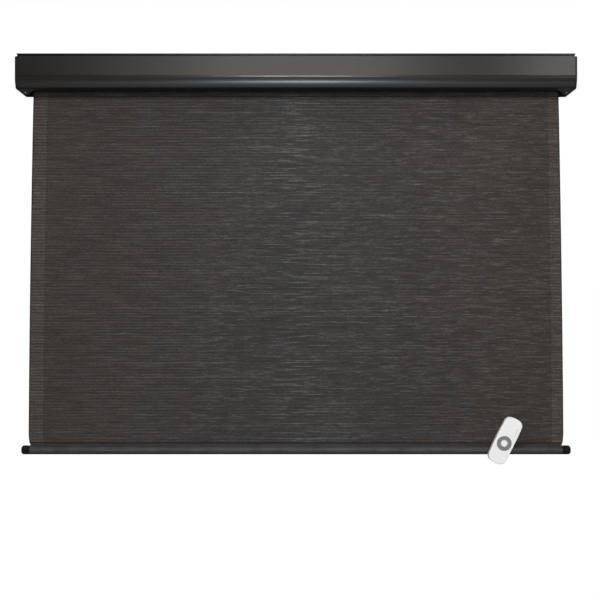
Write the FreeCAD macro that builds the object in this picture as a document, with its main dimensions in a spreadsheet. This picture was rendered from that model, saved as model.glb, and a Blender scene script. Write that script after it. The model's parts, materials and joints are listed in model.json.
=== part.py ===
import FreeCAD, Part
import math
import os
import types
import Sketcher

# Motorized outdoor shade: a headbox with a motor driven roller, a hanging cloth with a round hem
# bar, and the hand-held remote that goes with it. Millimetres and degrees.
# X runs along the width with the motor at +X. The front faces -Y and the wall is the plane Y = 0.
# Z is up, and the origin is the middle of the four wall screw holes, at half the headbox's height.

SIZES = {
    # headbox
    "overall_width": 1829.0,
    "headbox_depth": 115.0,
    "headbox_height": 113.0,
    "fit_gap": 0.3,
    # top rail, a bent cover plate
    "rail_wall": 3.0,
    "rail_lip_wall": 2.0,
    "rail_lip_drop": 3.7,
    "rail_leg_drop": 14.0,
    "rail_rib_wall": 1.5,
    "rail_rib_setback": 7.0,
    "rail_rib_clear": 0.8,
    # front fascia, a rolled cover that hooks on the rail's rib
    "fascia_wall": 1.8,
    "fascia_reveal": 4.3,
    "fascia_hook_rise": 3.8,
    "fascia_hook_gap": 1.0,
    "crease_level": 72.2,
    "crease_depth": 0.9,
    "crease_rise": 0.4,
    "crease_run": 2.6,
    "band_inset": 8.0,
    "band_corner_rise": 2.8,
    "band_corner_run": 4.5,
    "band_corner_radius": 5.0,
    "return_lip_rise": 6.0,
    "return_lip_gap": 4.0,
    "port_wall": 1.6,
    "port_bite": 0.8,
    "upper_port_drop": 26.5,
    "lower_port_run": 12.5,
    # end caps, moulded covers with a wing under the headbox
    "cap_depth": 6.0,
    "cap_recess": 2.8,
    "cap_front_rim": 11.0,
    "cap_rim": 7.0,
    "cap_top_drop": 8.5,
    "cap_corner_radius": 5.0,
    "cap_edge_radius": 1.4,
    "cap_wall_gap": 1.0,
    "cap_tab_wall": 1.5,
    "cap_tab_reach": 8.0,
    "cap_tab_low": 8.0,
    "cap_tab_high": 18.0,
    "wing_wall": 2.5,
    "wing_front_reach": 60.0,
    "wing_rear_reach": 21.0,
    "wing_bend": 55.0,
    "wing_rear_gap": 12.0,
    "wing_corner_radius": 7.0,
    # brackets, bent steel plates
    "bracket_wall": 3.0,
    "bracket_front_gap": 12.0,
    "bracket_front_level": 12.5,
    "bracket_flange_reach": 32.5,
    "wall_flange_gap": 0.5,
    "bracket_slope_drop": 14.5,
    "ceiling_flange_near": 22.0,
    "ceiling_flange_far": 97.0,
    "foot_front": 66.0,
    "foot_rear": 37.0,
    "foot_reach": 19.0,
    "mount_hole_radius": 3.0,
    "wall_hole_inset": 15.5,
    "wall_hole_spacing": 60.0,
    "ceiling_hole_inset": 18.0,
    "ceiling_hole_near": 35.0,
    "ceiling_hole_far": 85.0,
    # roller
    "axis_depth": 60.0,
    "tube_radius": 25.0,
    "tube_wall": 1.5,
    "tube_left_gap": 17.5,
    "tube_right_gap": 19.5,
    "groove_depth": 2.7,
    "groove_radius": 1.9,
    "groove_wall": 1.2,
    "groove_mouth": 2.2,
    "spline_radius": 1.6,
    "spline_end_gap": 4.0,
    "key_gap": 0.4,
    "insert_gap": 0.15,
    "running_gap": 0.05,
    # idler end, on the left
    "bush_flange_radius": 13.0,
    "bush_flange_wall": 2.0,
    "bush_radius": 10.0,
    "pin_radius": 6.0,
    "pin_collar_radius": 7.9,
    "pin_collar_length": 4.0,
    "pin_tail_radius": 4.0,
    "pin_tail_length": 26.0,
    "pin_chamfer": 1.0,
    "nose_radius": 12.0,
    "nose_length": 10.5,
    "nose_wall": 5.0,
    "plug_flange_wall": 2.5,
    "plug_length": 58.0,
    "chamber_radius": 8.3,
    "chamber_plug_length": 10.0,
    "spring_wire_radius": 0.7,
    "spring_mean_radius": 6.0,
    # motor end, on the right
    "head_length": 16.0,
    "head_radius": 24.5,
    "head_flat_drop": 22.5,
    "head_edge": 1.5,
    "motor_length": 460.0,
    "gearbox_length": 90.0,
    "joint_groove": 0.6,
    "crown_floor": 1.3,
    "crown_length": 20.0,
    "crown_flange_wall": 2.5,
    "stub_side": 12.0,
    "shaft_radius": 5.0,
    "shaft_flat": 3.8,
    "shaft_seat": 9.0,
    "shaft_reach": 25.0,
    "wheel_length": 18.0,
    "wheel_gap": 3.0,
    "wheel_hub_radius": 9.0,
    "wheel_rim_wall": 3.0,
    "wheel_rib_wall": 3.0,
    "clip_wall": 1.2,
    "clip_radius": 7.0,
    "clip_groove_depth": 0.8,
    "clip_mouth": 6.6,
    "clip_mouth_level": 1.7,
    "motor_screw_radius": 2.5,
    "motor_screw_spacing": 38.0,
    "motor_screw_length": 12.0,
    "motor_screw_head_radius": 4.2,
    "motor_screw_head": 2.3,
    "button_radius": 3.0,
    "button_length": 9.0,
    "button_stand": 2.0,
    "button_travel": 1.5,
    "button_edge": 0.6,
    "button_setback": 8.2,
    "inlet_width": 8.0,
    "inlet_height": 12.0,
    "inlet_depth": 6.0,
    "inlet_stand": 1.0,
    "inlet_slot_width": 2.4,
    "inlet_slot_height": 0.75,
    "inlet_slot_depth": 3.0,
    "inlet_slot_pitch": 3.0,
    # screws in the headbox
    "screw_radius": 1.9,
    "screw_head_radius": 3.6,
    "screw_head": 1.8,
    "screw_gap": 0.15,
    "port_screw_radius": 1.7,
    "port_screw_length": 16.0,
    "port_screw_head_radius": 3.4,
    "port_screw_head": 2.0,
    "port_screw_sink": 2.3,
    "wing_screw_inset": 17.0,
    "wing_screw_depth": 58.0,
    "rail_screw_inset": 16.0,
    # cloth
    "cloth_wall": 0.6,
    "cloth_length": 1225.0,
    "side_hem_width": 43.0,
    "wrap_turns": 2.25,
    "wrap_gap": 0.5,
    "seat_gap": 0.3,
    # hem bar
    "hem_tube_radius": 14.0,
    "hem_tube_wall": 1.5,
    "hem_neck_height": 4.4,
    "hem_neck_width": 9.0,
    "hem_plug_length": 14.0,
    "hem_plug_wall": 2.0,
    "hem_collar_length": 3.5,
    "hem_waist_radius": 12.0,
    "hem_waist_length": 3.5,
    "hem_end_length": 21.5,
    "hem_end_round": 7.0,
    # remote
    "remote_width": 65.0,
    "remote_length": 160.0,
    "remote_depth": 18.0,
    "remote_back_depth": 8.5,
    "remote_wall": 1.8,
    "remote_side_curve": 1067.0,
    "remote_end_curve": 67.8,
    "remote_corner_radius": 20.0,
    "remote_edge_radius": 2.6,
    "remote_tilt": 26.4,
    "remote_across": 689.0,
    "remote_above_seam": 17.0,
    "remote_back_gap": 9.0,
    "ring_drop": 9.6,
    "ring_radius": 24.3,
    "ring_gap": 0.4,
    "ring_stand": 0.6,
    "ring_height": 6.0,
    "ring_flange_reach": 1.7,
    "ring_flange_wall": 1.2,
    "ring_inner_gap": 0.5,
    "ring_edge": 0.8,
    "ring_groove_count": 6,
    "ring_groove_width": 0.9,
    "ring_groove_depth": 0.6,
    "ring_groove_inset": 1.6,
    "ring_groove_pitch": 1.75,
    "stop_radius": 10.8,
    "stop_stand": 1.0,
    "stop_height": 6.4,
    "stop_travel": 0.5,
    "stop_edge": 1.2,
    "light_across": 20.4,
    "light_up": 37.5,
    "light_pitch": 6.0,
    "light_length": 4.4,
    "light_width": 1.3,
    "light_gap": 0.1,
    "light_depth": 2.6,
    "light_count": 5,
    "board_width": 36.0,
    "board_length": 132.0,
    "board_wall": 1.6,
    "board_level": 7.4,
    "board_rest_wall": 1.6,
    "board_rest_width": 24.0,
    "board_rest_up": 55.0,
    "board_rest_low": 18.0,
    "mat_wall": 1.0,
    "mat_edge": 0.5,
    "mat_bump_radius": 3.0,
    "mat_bump_gap": 0.4,
    "mat_bump_ring": 14.0,
    "mat_middle_radius": 5.0,
    "post_across": 22.0,
    "post_up": 60.0,
    "post_radius": 3.3,
    "post_screw_radius": 1.1,
    "post_screw_length": 10.0,
    "post_screw_head_radius": 2.1,
    "post_screw_head": 1.3,
    "post_screw_sink": 1.5,
    "door_width": 36.0,
    "door_wall": 1.8,
    "door_top": 24.0,
    "door_gap": 0.2,
    "cell_radius": 12.25,
    "cell_height": 4.6,
    "cell_down": 46.0,
    "cell_holder_wall": 1.4,
    "cell_holder_height": 4.0,
    "contact_wall": 0.4,
    "contact_width": 6.0,
    "contact_length": 9.0,
}


class Size:
    """A number that keeps the sheet formula it comes from, so that sums of sizes can be bound."""

    def __init__(self, value, formula):
        self.value = float(value)
        self.formula = formula

    def __add__(self, other):
        other = as_size(other)
        return Size(self.value + other.value, f"({self.formula} + {other.formula})")

    def __sub__(self, other):
        other = as_size(other)
        return Size(self.value - other.value, f"({self.formula} - {other.formula})")

    def __mul__(self, other):
        other = as_size(other)
        return Size(self.value * other.value, f"({self.formula} * {other.formula})")

    def __truediv__(self, other):
        other = as_size(other)
        return Size(self.value / other.value, f"({self.formula} / {other.formula})")

    def __radd__(self, other):
        return as_size(other) + self

    def __rsub__(self, other):
        return as_size(other) - self

    def __rmul__(self, other):
        return as_size(other) * self

    def __rtruediv__(self, other):
        return as_size(other) / self

    def __neg__(self):
        return as_size(0) - self


def as_size(number):
    if isinstance(number, Size):
        return number
    return Size(number, repr(float(number)))


def other_leg(long_side, leg):
    """The third side of a right triangle."""
    squares = long_side * long_side - leg * leg
    return Size(math.sqrt(squares.value), f"sqrt({squares.formula})")


doc = FreeCAD.newDocument("OutdoorShade")
sheet = doc.addObject("Spreadsheet::Sheet", "Sizes")
for row, (alias, number) in enumerate(SIZES.items(), start=1):
    sheet.set(f"A{row}", alias)
    sheet.set(f"B{row}", str(number))
    sheet.setAlias(f"B{row}", alias)
doc.recompute()
S = types.SimpleNamespace(
    **{alias: Size(sheet.get(alias), f"Sizes.{alias}") for alias in SIZES}
)

# places that several pieces share
LEFT, RIGHT = -1, 1
OVERRUN = 1.0  # how far a cutting form runs past the face that it cuts
half_width = S.overall_width / 2
cap_inner = half_width - S.cap_depth
plate_inner = cap_inner - S.bracket_wall
top = S.headbox_height / 2
bottom = -top
front = -S.headbox_depth
rail_under = top - S.rail_wall
fascia_top = top - S.rail_lip_drop - S.fascia_reveal
wing_top = bottom + S.wing_wall
crease = top - S.crease_level
band_top = crease - S.crease_run
axis_y = -S.axis_depth
rib_front = front + S.rail_rib_setback
hook_front = rib_front + S.rail_rib_wall + S.fascia_hook_gap
cap_top = top - S.cap_top_drop
tube_left = S.tube_left_gap - plate_inner
tube_right = plate_inner - S.tube_right_gap
tube_bore = S.tube_radius - S.tube_wall
insert_radius = tube_bore - S.insert_gap
groove_centre = S.tube_radius - S.groove_depth
channel_radius = S.groove_radius + S.groove_wall
key_width = (channel_radius + S.key_gap) * 2
key_floor = groove_centre - channel_radius - S.key_gap
crown_bore = key_floor - S.crown_floor
motor_radius = crown_bore - S.running_gap
head_face = plate_inner - S.head_length
wrap_pitch = S.cloth_wall + S.wrap_gap
wrap_start = S.tube_radius + S.seat_gap
cloth_out = wrap_start + wrap_pitch * S.wrap_turns
cloth_front = axis_y + cloth_out
half_cloth = tube_right  # the cloth hangs in the middle and ends level with the tube's right end
cloth_width = half_cloth * 2
seam = -S.cloth_length
hem_ring = S.hem_tube_radius + S.seat_gap
hem_outer = hem_ring + S.cloth_wall
hem_y = cloth_front + S.cloth_wall / 2
hem_z = seam - S.seat_gap - S.hem_neck_height - hem_outer
port_bore = S.port_screw_radius + S.running_gap
port_radius = port_bore + S.port_wall
upper_port = (front + S.fascia_wall + port_radius - S.port_bite, top - S.upper_port_drop)
lower_port = (front + S.lower_port_run, wing_top + S.fascia_wall + port_radius - S.port_bite)

parts = []


def origin_part(body, role):
    """One of the body's own origin planes or axes."""
    return [item for item in body.Origin.OriginFeatures if item.Role == role][0]


def bind(thing, path, size):
    thing.setExpression(path, as_size(size).formula)


def kept(thing, node):
    """Marks an object as a sub-part that is written to its own file."""
    thing.Label = node
    parts.append(thing)
    return thing


def place(thing, x=0, y=0, z=0):
    for axis, size in zip("xyz", (x, y, z)):
        bind(thing, f"Placement.Base.{axis}", size)


def new_body(node, x=0, y=0, z=0):
    body = doc.addObject("PartDesign::Body", node)
    place(body, x, y, z)
    return body


def new_sketch(body, plane, lift=0, across=0, up=0):
    """A sketch on an origin plane of the body, lifted along the plane's normal."""
    sketch = body.newObject("Sketcher::SketchObject", "Sketch")
    sketch.AttachmentSupport = [(origin_part(body, plane), "")]
    sketch.MapMode = "FlatFace"
    for axis, size in zip("xyz", (across, up, lift)):
        bind(sketch, f"AttachmentOffset.Base.{axis}", size)
    return sketch


def pin_point(sketch, geometry, point, across, up):
    """Fixes one point of a sketch at bound distances from the sketch's origin."""
    for kind, size in (("DistanceX", across), ("DistanceY", up)):
        size = as_size(size)
        index = sketch.addConstraint(
            Sketcher.Constraint(kind, -1, 1, geometry, point, size.value)
        )
        bind(sketch, f"Constraints[{index}]", size)


def pin_radius(sketch, geometry, radius):
    radius = as_size(radius)
    index = sketch.addConstraint(Sketcher.Constraint("Radius", geometry, radius.value))
    bind(sketch, f"Constraints[{index}]", radius)


def add_circle(sketch, across, up, radius):
    centre = FreeCAD.Vector(as_size(across).value, as_size(up).value, 0)
    circle = Part.Circle(centre, FreeCAD.Vector(0, 0, 1), as_size(radius).value)
    geometry = sketch.addGeometry(circle, False)
    pin_radius(sketch, geometry, radius)
    pin_point(sketch, geometry, 3, across, up)


def arc_between(start, end, radius):
    """A minor arc that bulges to the right of the way from start to end."""
    chord = end - start
    side = FreeCAD.Vector(-chord.y, chord.x, 0).normalize()
    height = math.sqrt(radius**2 - (chord.Length / 2) ** 2)
    if radius > 0:
        centre = (start + end) / 2 + side * height
        first, last = start - centre, end - centre
    else:
        centre = (start + end) / 2 - side * height
        first, last = end - centre, start - centre
    circle = Part.Circle(centre, FreeCAD.Vector(0, 0, 1), abs(radius))
    angles = [math.atan2(arm.y, arm.x) for arm in (first, last)]
    return Part.ArcOfCircle(circle, *angles)


def add_outline(sketch, corners):
    """A closed loop. A corner is (across, up), or (across, up, radius) where an arc leads on.

    A positive radius bulges to the right of the way, a negative one to the left.
    """
    places = [
        FreeCAD.Vector(as_size(corner[0]).value, as_size(corner[1]).value, 0)
        for corner in corners
    ]
    ends = []
    for index, corner in enumerate(corners):
        start, end = places[index], places[(index + 1) % len(corners)]
        if len(corner) == 2:
            geometry = sketch.addGeometry(Part.LineSegment(start, end), False)
            ends.append((geometry, 1, 2))
            continue
        radius = as_size(corner[2])
        geometry = sketch.addGeometry(arc_between(start, end, radius.value), False)
        ends.append((geometry, 1, 2) if radius.value > 0 else (geometry, 2, 1))
        pin_radius(sketch, geometry, radius if radius.value > 0 else -radius)
    for index, (geometry, begin, _) in enumerate(ends):
        before, _, finish = ends[index - 1]
        sketch.addConstraint(
            Sketcher.Constraint("Coincident", before, finish, geometry, begin)
        )
        pin_point(sketch, geometry, begin, *corners[index][:2])


def box_corners(left, low, right, high):
    return [(left, low), (right, low), (right, high), (left, high)]


def feature(body, kind, sketch, **bound):
    """Adds a feature made from a sketch, with its sizes bound."""
    made = body.newObject(f"PartDesign::{kind}", kind)
    made.Profile = sketch
    for name, size in bound.items():
        bind(made, name, size)
    sketch.Visibility = False
    return made


def pad(body, sketch, length, back=False):
    made = feature(body, "Pad", sketch, Length=length)
    made.Reversed = back
    return made


def pocket(body, sketch, length=None, back=False):
    """Cuts against the sketch's normal, or along it if back is set, and checks that it cut."""
    doc.recompute()
    before = body.Shape.Volume
    made = feature(body, "Pocket", sketch)
    if length is None:
        made.Type = "ThroughAll"
    else:
        bind(made, "Length", length)
    made.Reversed = back
    doc.recompute()
    if body.Shape.Volume > before - 0.001:
        raise RuntimeError(f"a pocket of {body.Name} cuts nothing")
    return made


def turn(body, plane, corners, axis, lift=0, across=0, up=0):
    """A turned form: an outline swung about the sketch's own axis."""
    sketch = new_sketch(body, plane, lift, across, up)
    add_outline(sketch, corners)
    made = feature(body, "Revolution", sketch)
    made.ReferenceAxis = (sketch, [axis])
    made.Angle = 360
    return made


def round_edges(body, base, radius, choose):
    """Rounds the edges of a feature that the choose test picks."""
    doc.recompute()
    names = [f"Edge{i}" for i, edge in enumerate(base.Shape.Edges, start=1) if choose(edge)]
    made = body.newObject("PartDesign::Fillet", "Fillet")
    made.Base = (base, names)
    bind(made, "Radius", radius)
    return made


def rolled(node, corners):
    """A kept piece turned about the roller's axis, from corners given as (x, radius)."""
    body = new_body(node, y=axis_y)
    turn(body, "XY_Plane", corners, "H_Axis")
    return kept(body, node)


def along_x(body, corners, start, length):
    """A profile in Y and Z, drawn at start and carried on along +X."""
    sketch = new_sketch(body, "YZ_Plane", lift=start)
    add_outline(sketch, corners)
    return pad(body, sketch, length)


def holes(body, plane, places, radius, lift=0, length=None, back=False):
    sketch = new_sketch(body, plane, lift)
    for across, up in places:
        add_circle(sketch, across, up, radius)
    return pocket(body, sketch, length, back)


# shares that all pan head screws have alike
PAN_FLAT_SHARE = 0.55
PAN_RIM_SHARE = 0.45


def pan_screw(radius, length, head_radius, head):
    """Half outline of a pan head screw as (radius, height), its seat at height 0."""
    return [
        (0, length),
        (0, -head),
        (head_radius * PAN_FLAT_SHARE, -head),
        (head_radius, -head * PAN_RIM_SHARE),
        (head_radius, 0),
        (radius, 0),
        (radius, length),
    ]


def top_rail():
    body = new_body("top_rail")
    rib_low = fascia_top + S.rail_rib_clear
    corners = [
        (0, top),
        (front, top),
        (front, top - S.rail_lip_drop),
        (front + S.rail_lip_wall, top - S.rail_lip_drop),
        (front + S.rail_lip_wall, rail_under),
        (rib_front, rail_under),
        (rib_front, rib_low),
        (rib_front + S.rail_rib_wall, rib_low),
        (rib_front + S.rail_rib_wall, rail_under),
        (-S.rail_wall, rail_under),
        (-S.rail_wall, top - S.rail_leg_drop),
        (0, top - S.rail_leg_drop),
    ]
    along_x(body, corners, -cap_inner, cap_inner * 2)
    holes(body, "XY_Plane", ceiling_places(), S.mount_hole_radius, top)
    screws = [(side * rail_screw_x, axis_y) for side in (LEFT, RIGHT)]
    holes(body, "XY_Plane", screws, S.screw_radius + S.screw_gap, top)
    return kept(body, "top_rail")


def ceiling_places():
    reach = plate_inner - S.ceiling_hole_inset
    return [
        (side * reach, -depth)
        for side in (LEFT, RIGHT)
        for depth in (S.ceiling_hole_near, S.ceiling_hole_far)
    ]


rail_screw_x = plate_inner - S.rail_screw_inset
wing_screw_x = half_width - S.wing_screw_inset


def band_arc(low):
    """The rolled lower band of the front, from the crease to low, as corners with radii."""
    drop = band_top - low - S.band_corner_rise
    radius = (S.band_inset * S.band_inset + drop * drop) / (S.band_inset * 2)
    return [
        (front, band_top, radius),
        (front + S.band_inset, low + S.band_corner_rise, S.band_corner_radius),
        (front + S.band_inset + S.band_corner_run, low),
    ]


def front_fascia():
    body = new_body("front_fascia")
    wall = S.fascia_wall
    lip_rear = -S.foot_front - S.return_lip_gap
    band = band_arc(wing_top)
    corners = [
        (front, fascia_top),
        (front, crease + S.crease_rise),
        (front + S.crease_depth, crease),
        *band,
        (lip_rear, wing_top),
        (lip_rear, wing_top + wall + S.return_lip_rise),
        (lip_rear - wall, wing_top + wall + S.return_lip_rise),
        (lip_rear - wall, wing_top + wall),
        (
            front + S.band_inset + S.band_corner_run,
            wing_top + wall,
            wall - S.band_corner_radius,
        ),
        (front + S.band_inset + wall, wing_top + S.band_corner_rise + wall / 2, wall - band[0][2]),
        (front + wall, band_top),
        (front + wall, fascia_top - wall),
        (hook_front + wall, fascia_top - wall),
        (hook_front + wall, fascia_top + S.fascia_hook_rise),
        (hook_front, fascia_top + S.fascia_hook_rise),
        (hook_front, fascia_top),
    ]
    along_x(body, corners, -cap_inner, cap_inner * 2)
    for across, up in (upper_port, lower_port):
        sketch = new_sketch(body, "YZ_Plane", lift=-cap_inner)
        add_circle(sketch, across, up, port_radius)
        pad(body, sketch, cap_inner * 2)
    holes(body, "YZ_Plane", [upper_port, lower_port], port_bore, lift=cap_inner)
    return kept(body, "front_fascia")


def end_cap(side, node):
    body = new_body(node)
    outer = side * half_width
    inner = side * cap_inner
    low_x = outer if side == LEFT else inner
    round_off = S.cap_corner_radius
    corners = [
        (-S.cap_wall_gap, cap_top),
        (front + round_off, cap_top, round_off),
        (front, cap_top - round_off),
        *band_arc(bottom),
        (-S.cap_wall_gap, bottom),
    ]
    plate = along_x(body, corners, low_x, S.cap_depth)
    edge = half_width.value - 0.01
    round_edges(
        body, plate, S.cap_edge_radius, lambda e: abs(e.CenterOfMass.x) > edge
    )
    sketch = new_sketch(body, "YZ_Plane", lift=inner)
    rim = S.cap_rim
    rear = -S.cap_wall_gap - rim
    add_outline(
        sketch,
        box_corners(front + S.cap_front_rim, bottom + rim, rear, cap_top - rim),
    )
    pocket(body, sketch, S.cap_recess, back=side == RIGHT)
    wing(body, side)
    tab = new_sketch(body, "YZ_Plane", lift=inner)
    tab_front = front + S.fascia_wall + S.fit_gap
    add_outline(
        tab,
        box_corners(tab_front, -S.cap_tab_low, tab_front + S.cap_tab_wall, S.cap_tab_high),
    )
    pad(body, tab, S.cap_tab_reach, back=side == RIGHT)
    ports = [upper_port, lower_port]
    away = side == LEFT
    holes(body, "YZ_Plane", ports, S.port_screw_radius + S.screw_gap, inner, back=not away)
    holes(
        body,
        "YZ_Plane",
        ports,
        S.port_screw_head_radius + S.fit_gap,
        outer,
        S.port_screw_sink,
        back=away,
    )
    screw = [(side * wing_screw_x, -S.wing_screw_depth)]
    holes(body, "XY_Plane", screw, S.screw_radius + S.fit_gap, wing_top)
    return kept(body, node)


def wing(body, side):
    """The cap's flat wing below the headbox, wide at the front and narrow beside the cloth."""
    sketch = new_sketch(body, "XY_Plane", lift=bottom)
    root = side * (cap_inner + S.cap_recess)
    front_x = side * (cap_inner - S.wing_front_reach)
    rear_x = side * (cap_inner - S.wing_rear_reach)
    near = front + S.band_inset + S.band_corner_run
    turn_in = S.wing_corner_radius
    corners = [
        (root, near),
        (root, -S.wing_rear_gap),
        (rear_x, -S.wing_rear_gap),
        (rear_x, -S.wing_bend),
        (front_x, near + turn_in, -side * turn_in),
        (front_x + side * turn_in, near),
    ]
    add_outline(sketch, corners)
    pad(body, sketch, S.wing_wall)


def bracket(side, node):
    """A bent plate that carries one end of the roller, with wall, ceiling and foot flanges."""
    body = new_body(node)
    low_x = -cap_inner if side == LEFT else plate_inner
    wall = S.bracket_wall
    level = top - S.rail_leg_drop - S.wall_flange_gap
    plate_front = front + S.bracket_front_gap
    front_low = bottom + S.bracket_front_level
    corners = [
        (0, -level),
        (0, level),
        (-S.rail_wall - S.fit_gap, level),
        (-S.rail_wall - S.fit_gap, rail_under),
        (-S.ceiling_flange_far, rail_under),
        (plate_front, cap_top - S.bracket_slope_drop),
        (plate_front, front_low),
        (-S.foot_front, front_low),
        (-S.foot_front, wing_top),
        (-S.foot_rear, wing_top),
        (-S.foot_rear, -level),
    ]
    along_x(body, corners, low_x, wall)
    far = plate_inner - S.bracket_flange_reach
    flange_x = -plate_inner if side == LEFT else far
    foot_x = -plate_inner if side == LEFT else plate_inner - S.foot_reach
    flanges = (
        (flange_x, S.bracket_flange_reach, box_corners(-wall, -level, 0, level)),
        (
            flange_x,
            S.bracket_flange_reach,
            box_corners(
                -S.ceiling_flange_far, rail_under - wall, -S.ceiling_flange_near, rail_under
            ),
        ),
        (
            foot_x,
            S.foot_reach,
            box_corners(-S.foot_front, wing_top, -S.foot_rear, wing_top + wall),
        ),
    )
    for start, length, outline in flanges:
        along_x(body, outline, start, length)
    wall_x = side * (plate_inner - S.wall_hole_inset)
    wall_z = S.wall_hole_spacing / 2
    wall_holes = [(wall_x, wall_z), (wall_x, -wall_z)]
    holes(body, "XZ_Plane", wall_holes, S.mount_hole_radius, wall)
    ceiling = [p for p in ceiling_places() if p[0].value * side > 0]
    holes(body, "XY_Plane", ceiling, S.mount_hole_radius, rail_under)
    rail_screw = [(side * rail_screw_x, axis_y)]
    gap = S.fit_gap
    holes(body, "XY_Plane", rail_screw, S.screw_radius + gap, rail_under, wall)
    foot_screw = [(side * wing_screw_x, -S.wing_screw_depth)]
    holes(body, "XY_Plane", foot_screw, S.screw_radius + S.screw_gap, wing_top, wall, True)
    hub = new_sketch(body, "YZ_Plane", lift=low_x)
    if side == LEFT:
        add_circle(hub, axis_y, 0, S.bush_radius + S.insert_gap)
    else:
        stub = S.stub_side / 2 + S.insert_gap
        add_outline(hub, box_corners(axis_y - stub, -stub, axis_y + stub, stub))
        for up in (S.motor_screw_spacing / 2, -S.motor_screw_spacing / 2):
            add_circle(hub, axis_y, up, S.motor_screw_radius + S.screw_gap)
    pocket(body, hub, S.bracket_wall, back=True)
    return kept(body, node)


def end_cap_screws():
    body = new_body("end_cap_screws", y=-S.wing_screw_depth, z=bottom)
    length = S.wing_wall + S.bracket_wall
    outline = pan_screw(S.screw_radius, length, S.screw_head_radius, S.screw_head)
    for side in (LEFT, RIGHT):
        turn(body, "XZ_Plane", outline, "V_Axis", across=side * wing_screw_x)
    return kept(body, "end_cap_screws")


def rail_screws():
    body = new_body("rail_screws", y=axis_y, z=rail_under - S.bracket_wall)
    length = S.rail_wall + S.bracket_wall - S.fit_gap
    outline = pan_screw(S.screw_radius, length, S.screw_head_radius, S.screw_head)
    for side in (LEFT, RIGHT):
        turn(body, "XZ_Plane", outline, "V_Axis", across=side * rail_screw_x)
    return kept(body, "rail_screws")


def fascia_screws():
    """Four screws through the end caps into the fascia's screw ports, heads sunk in the caps."""
    body = new_body("fascia_screws")
    seat = half_width - S.port_screw_sink
    outline = pan_screw(
        S.port_screw_radius,
        S.port_screw_length,
        S.port_screw_head_radius,
        S.port_screw_head,
    )
    for across, up in (upper_port, lower_port):
        for side in (LEFT, RIGHT):
            corners = [(side * (seat - along), radius) for radius, along in outline]
            turn(body, "XY_Plane", corners, "H_Axis", lift=up, up=across)
    return kept(body, "fascia_screws")


def roller_tube():
    body = new_body("roller_tube", y=axis_y)
    length = tube_right - tube_left
    ring = new_sketch(body, "YZ_Plane", lift=tube_left)
    add_circle(ring, 0, 0, S.tube_radius)
    add_circle(ring, 0, 0, tube_bore)
    pad(body, ring, length)
    channel = new_sketch(body, "YZ_Plane", lift=tube_left)
    add_circle(channel, 0, groove_centre, channel_radius)
    pad(body, channel, length)
    outside = new_sketch(body, "YZ_Plane", lift=tube_right)
    add_circle(outside, 0, 0, S.tube_radius)
    add_circle(outside, 0, 0, S.tube_radius + channel_radius)
    pocket(body, outside)
    holes(body, "YZ_Plane", [(0, groove_centre)], S.groove_radius, tube_right)
    mouth = new_sketch(body, "YZ_Plane", lift=tube_right)
    half = S.groove_mouth / 2
    rise = S.tube_radius + S.tube_wall * 2
    add_outline(mouth, box_corners(-half, groove_centre, half, rise))
    pocket(body, mouth)
    return kept(body, "roller_tube")


def fabric_spline():
    """The rod that locks the cloth's edge in the tube's groove."""
    rod = doc.addObject("Part::Cylinder", "fabric_spline")
    rod.Placement = FreeCAD.Placement(
        FreeCAD.Vector(), FreeCAD.Rotation(FreeCAD.Vector(0, 1, 0), 90)
    )
    place(rod, tube_left + S.spline_end_gap, axis_y, groove_centre)
    bind(rod, "Radius", S.spline_radius)
    bind(rod, "Height", tube_right - tube_left - S.spline_end_gap * 2)
    return kept(rod, "fabric_spline")


def least_gap(inner, outer):
    """The least distance from a turn's inner face to the outer face of the turn inside it."""
    points_per_half_turn = 60
    return min(
        Part.Vertex(point).distToShape(face)[0]
        for wall, face in zip(inner, outer[2:])
        for point in wall.discretize(points_per_half_turn)
    )


def fabric_roll():
    """The cloth wound on the tube, as half turns whose centres change sides to form a spiral.

    It leaves the roll at the back, level with the axis, and ends at the groove on top.
    """
    pitch = wrap_pitch.value
    wall = S.cloth_wall.value
    half_turns = S.wrap_turns.value * 2
    surfaces = []
    for offset in (0, wall):
        edges = []
        for step in range(math.ceil(half_turns)):
            begin = cloth_out.value - pitch / 2 * step
            radius = begin - pitch / 4
            side = 1 if step % 2 == 0 else -1
            centre = side * pitch / 4
            sweep = min(1.0, half_turns - step) * math.pi
            points = [
                FreeCAD.Vector(
                    0,
                    centre + side * (radius + offset) * math.cos(angle),
                    side * (radius + offset) * math.sin(angle),
                )
                for angle in (0, sweep / 2, sweep)
            ]
            edges.append(Part.Arc(*points).toShape())
        surfaces.append(edges)
    inner, outer = surfaces
    print(f"least gap between two turns of the roll: {least_gap(inner, outer):.3f} mm")
    ends = [
        Part.LineSegment(inner[0].firstVertex().Point, outer[0].firstVertex().Point),
        Part.LineSegment(inner[-1].lastVertex().Point, outer[-1].lastVertex().Point),
    ]
    wire = Part.Wire(Part.__sortEdges__(inner + outer + [end.toShape() for end in ends]))
    roll = doc.addObject("Part::Feature", "fabric_roll")
    roll.Shape = Part.Face(wire).extrude(FreeCAD.Vector(cloth_width.value, 0, 0))
    roll.Placement = FreeCAD.Placement(
        FreeCAD.Vector(-half_cloth.value, axis_y.value, 0), FreeCAD.Rotation()
    )
    return kept(roll, "fabric_roll")


# the idler end: a sprung pin in a plug that closes the tube's left end
bush_face = -plate_inner + S.bush_flange_wall
nose_end = tube_left - S.plug_flange_wall - S.nose_length
chamber_start = nose_end + S.nose_wall
plug_end = tube_left + S.plug_length
collar_start = chamber_start + S.fit_gap
tail_start = collar_start + S.pin_collar_length
chamber_floor = plug_end - S.chamber_plug_length


def idler_bush():
    bore = S.pin_radius + S.running_gap
    corners = [
        (-cap_inner, bore),
        (-cap_inner, S.bush_radius),
        (-plate_inner, S.bush_radius),
        (-plate_inner, S.bush_flange_radius),
        (bush_face, S.bush_flange_radius),
        (bush_face, bore),
    ]
    return rolled("idler_bush", corners)


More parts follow.
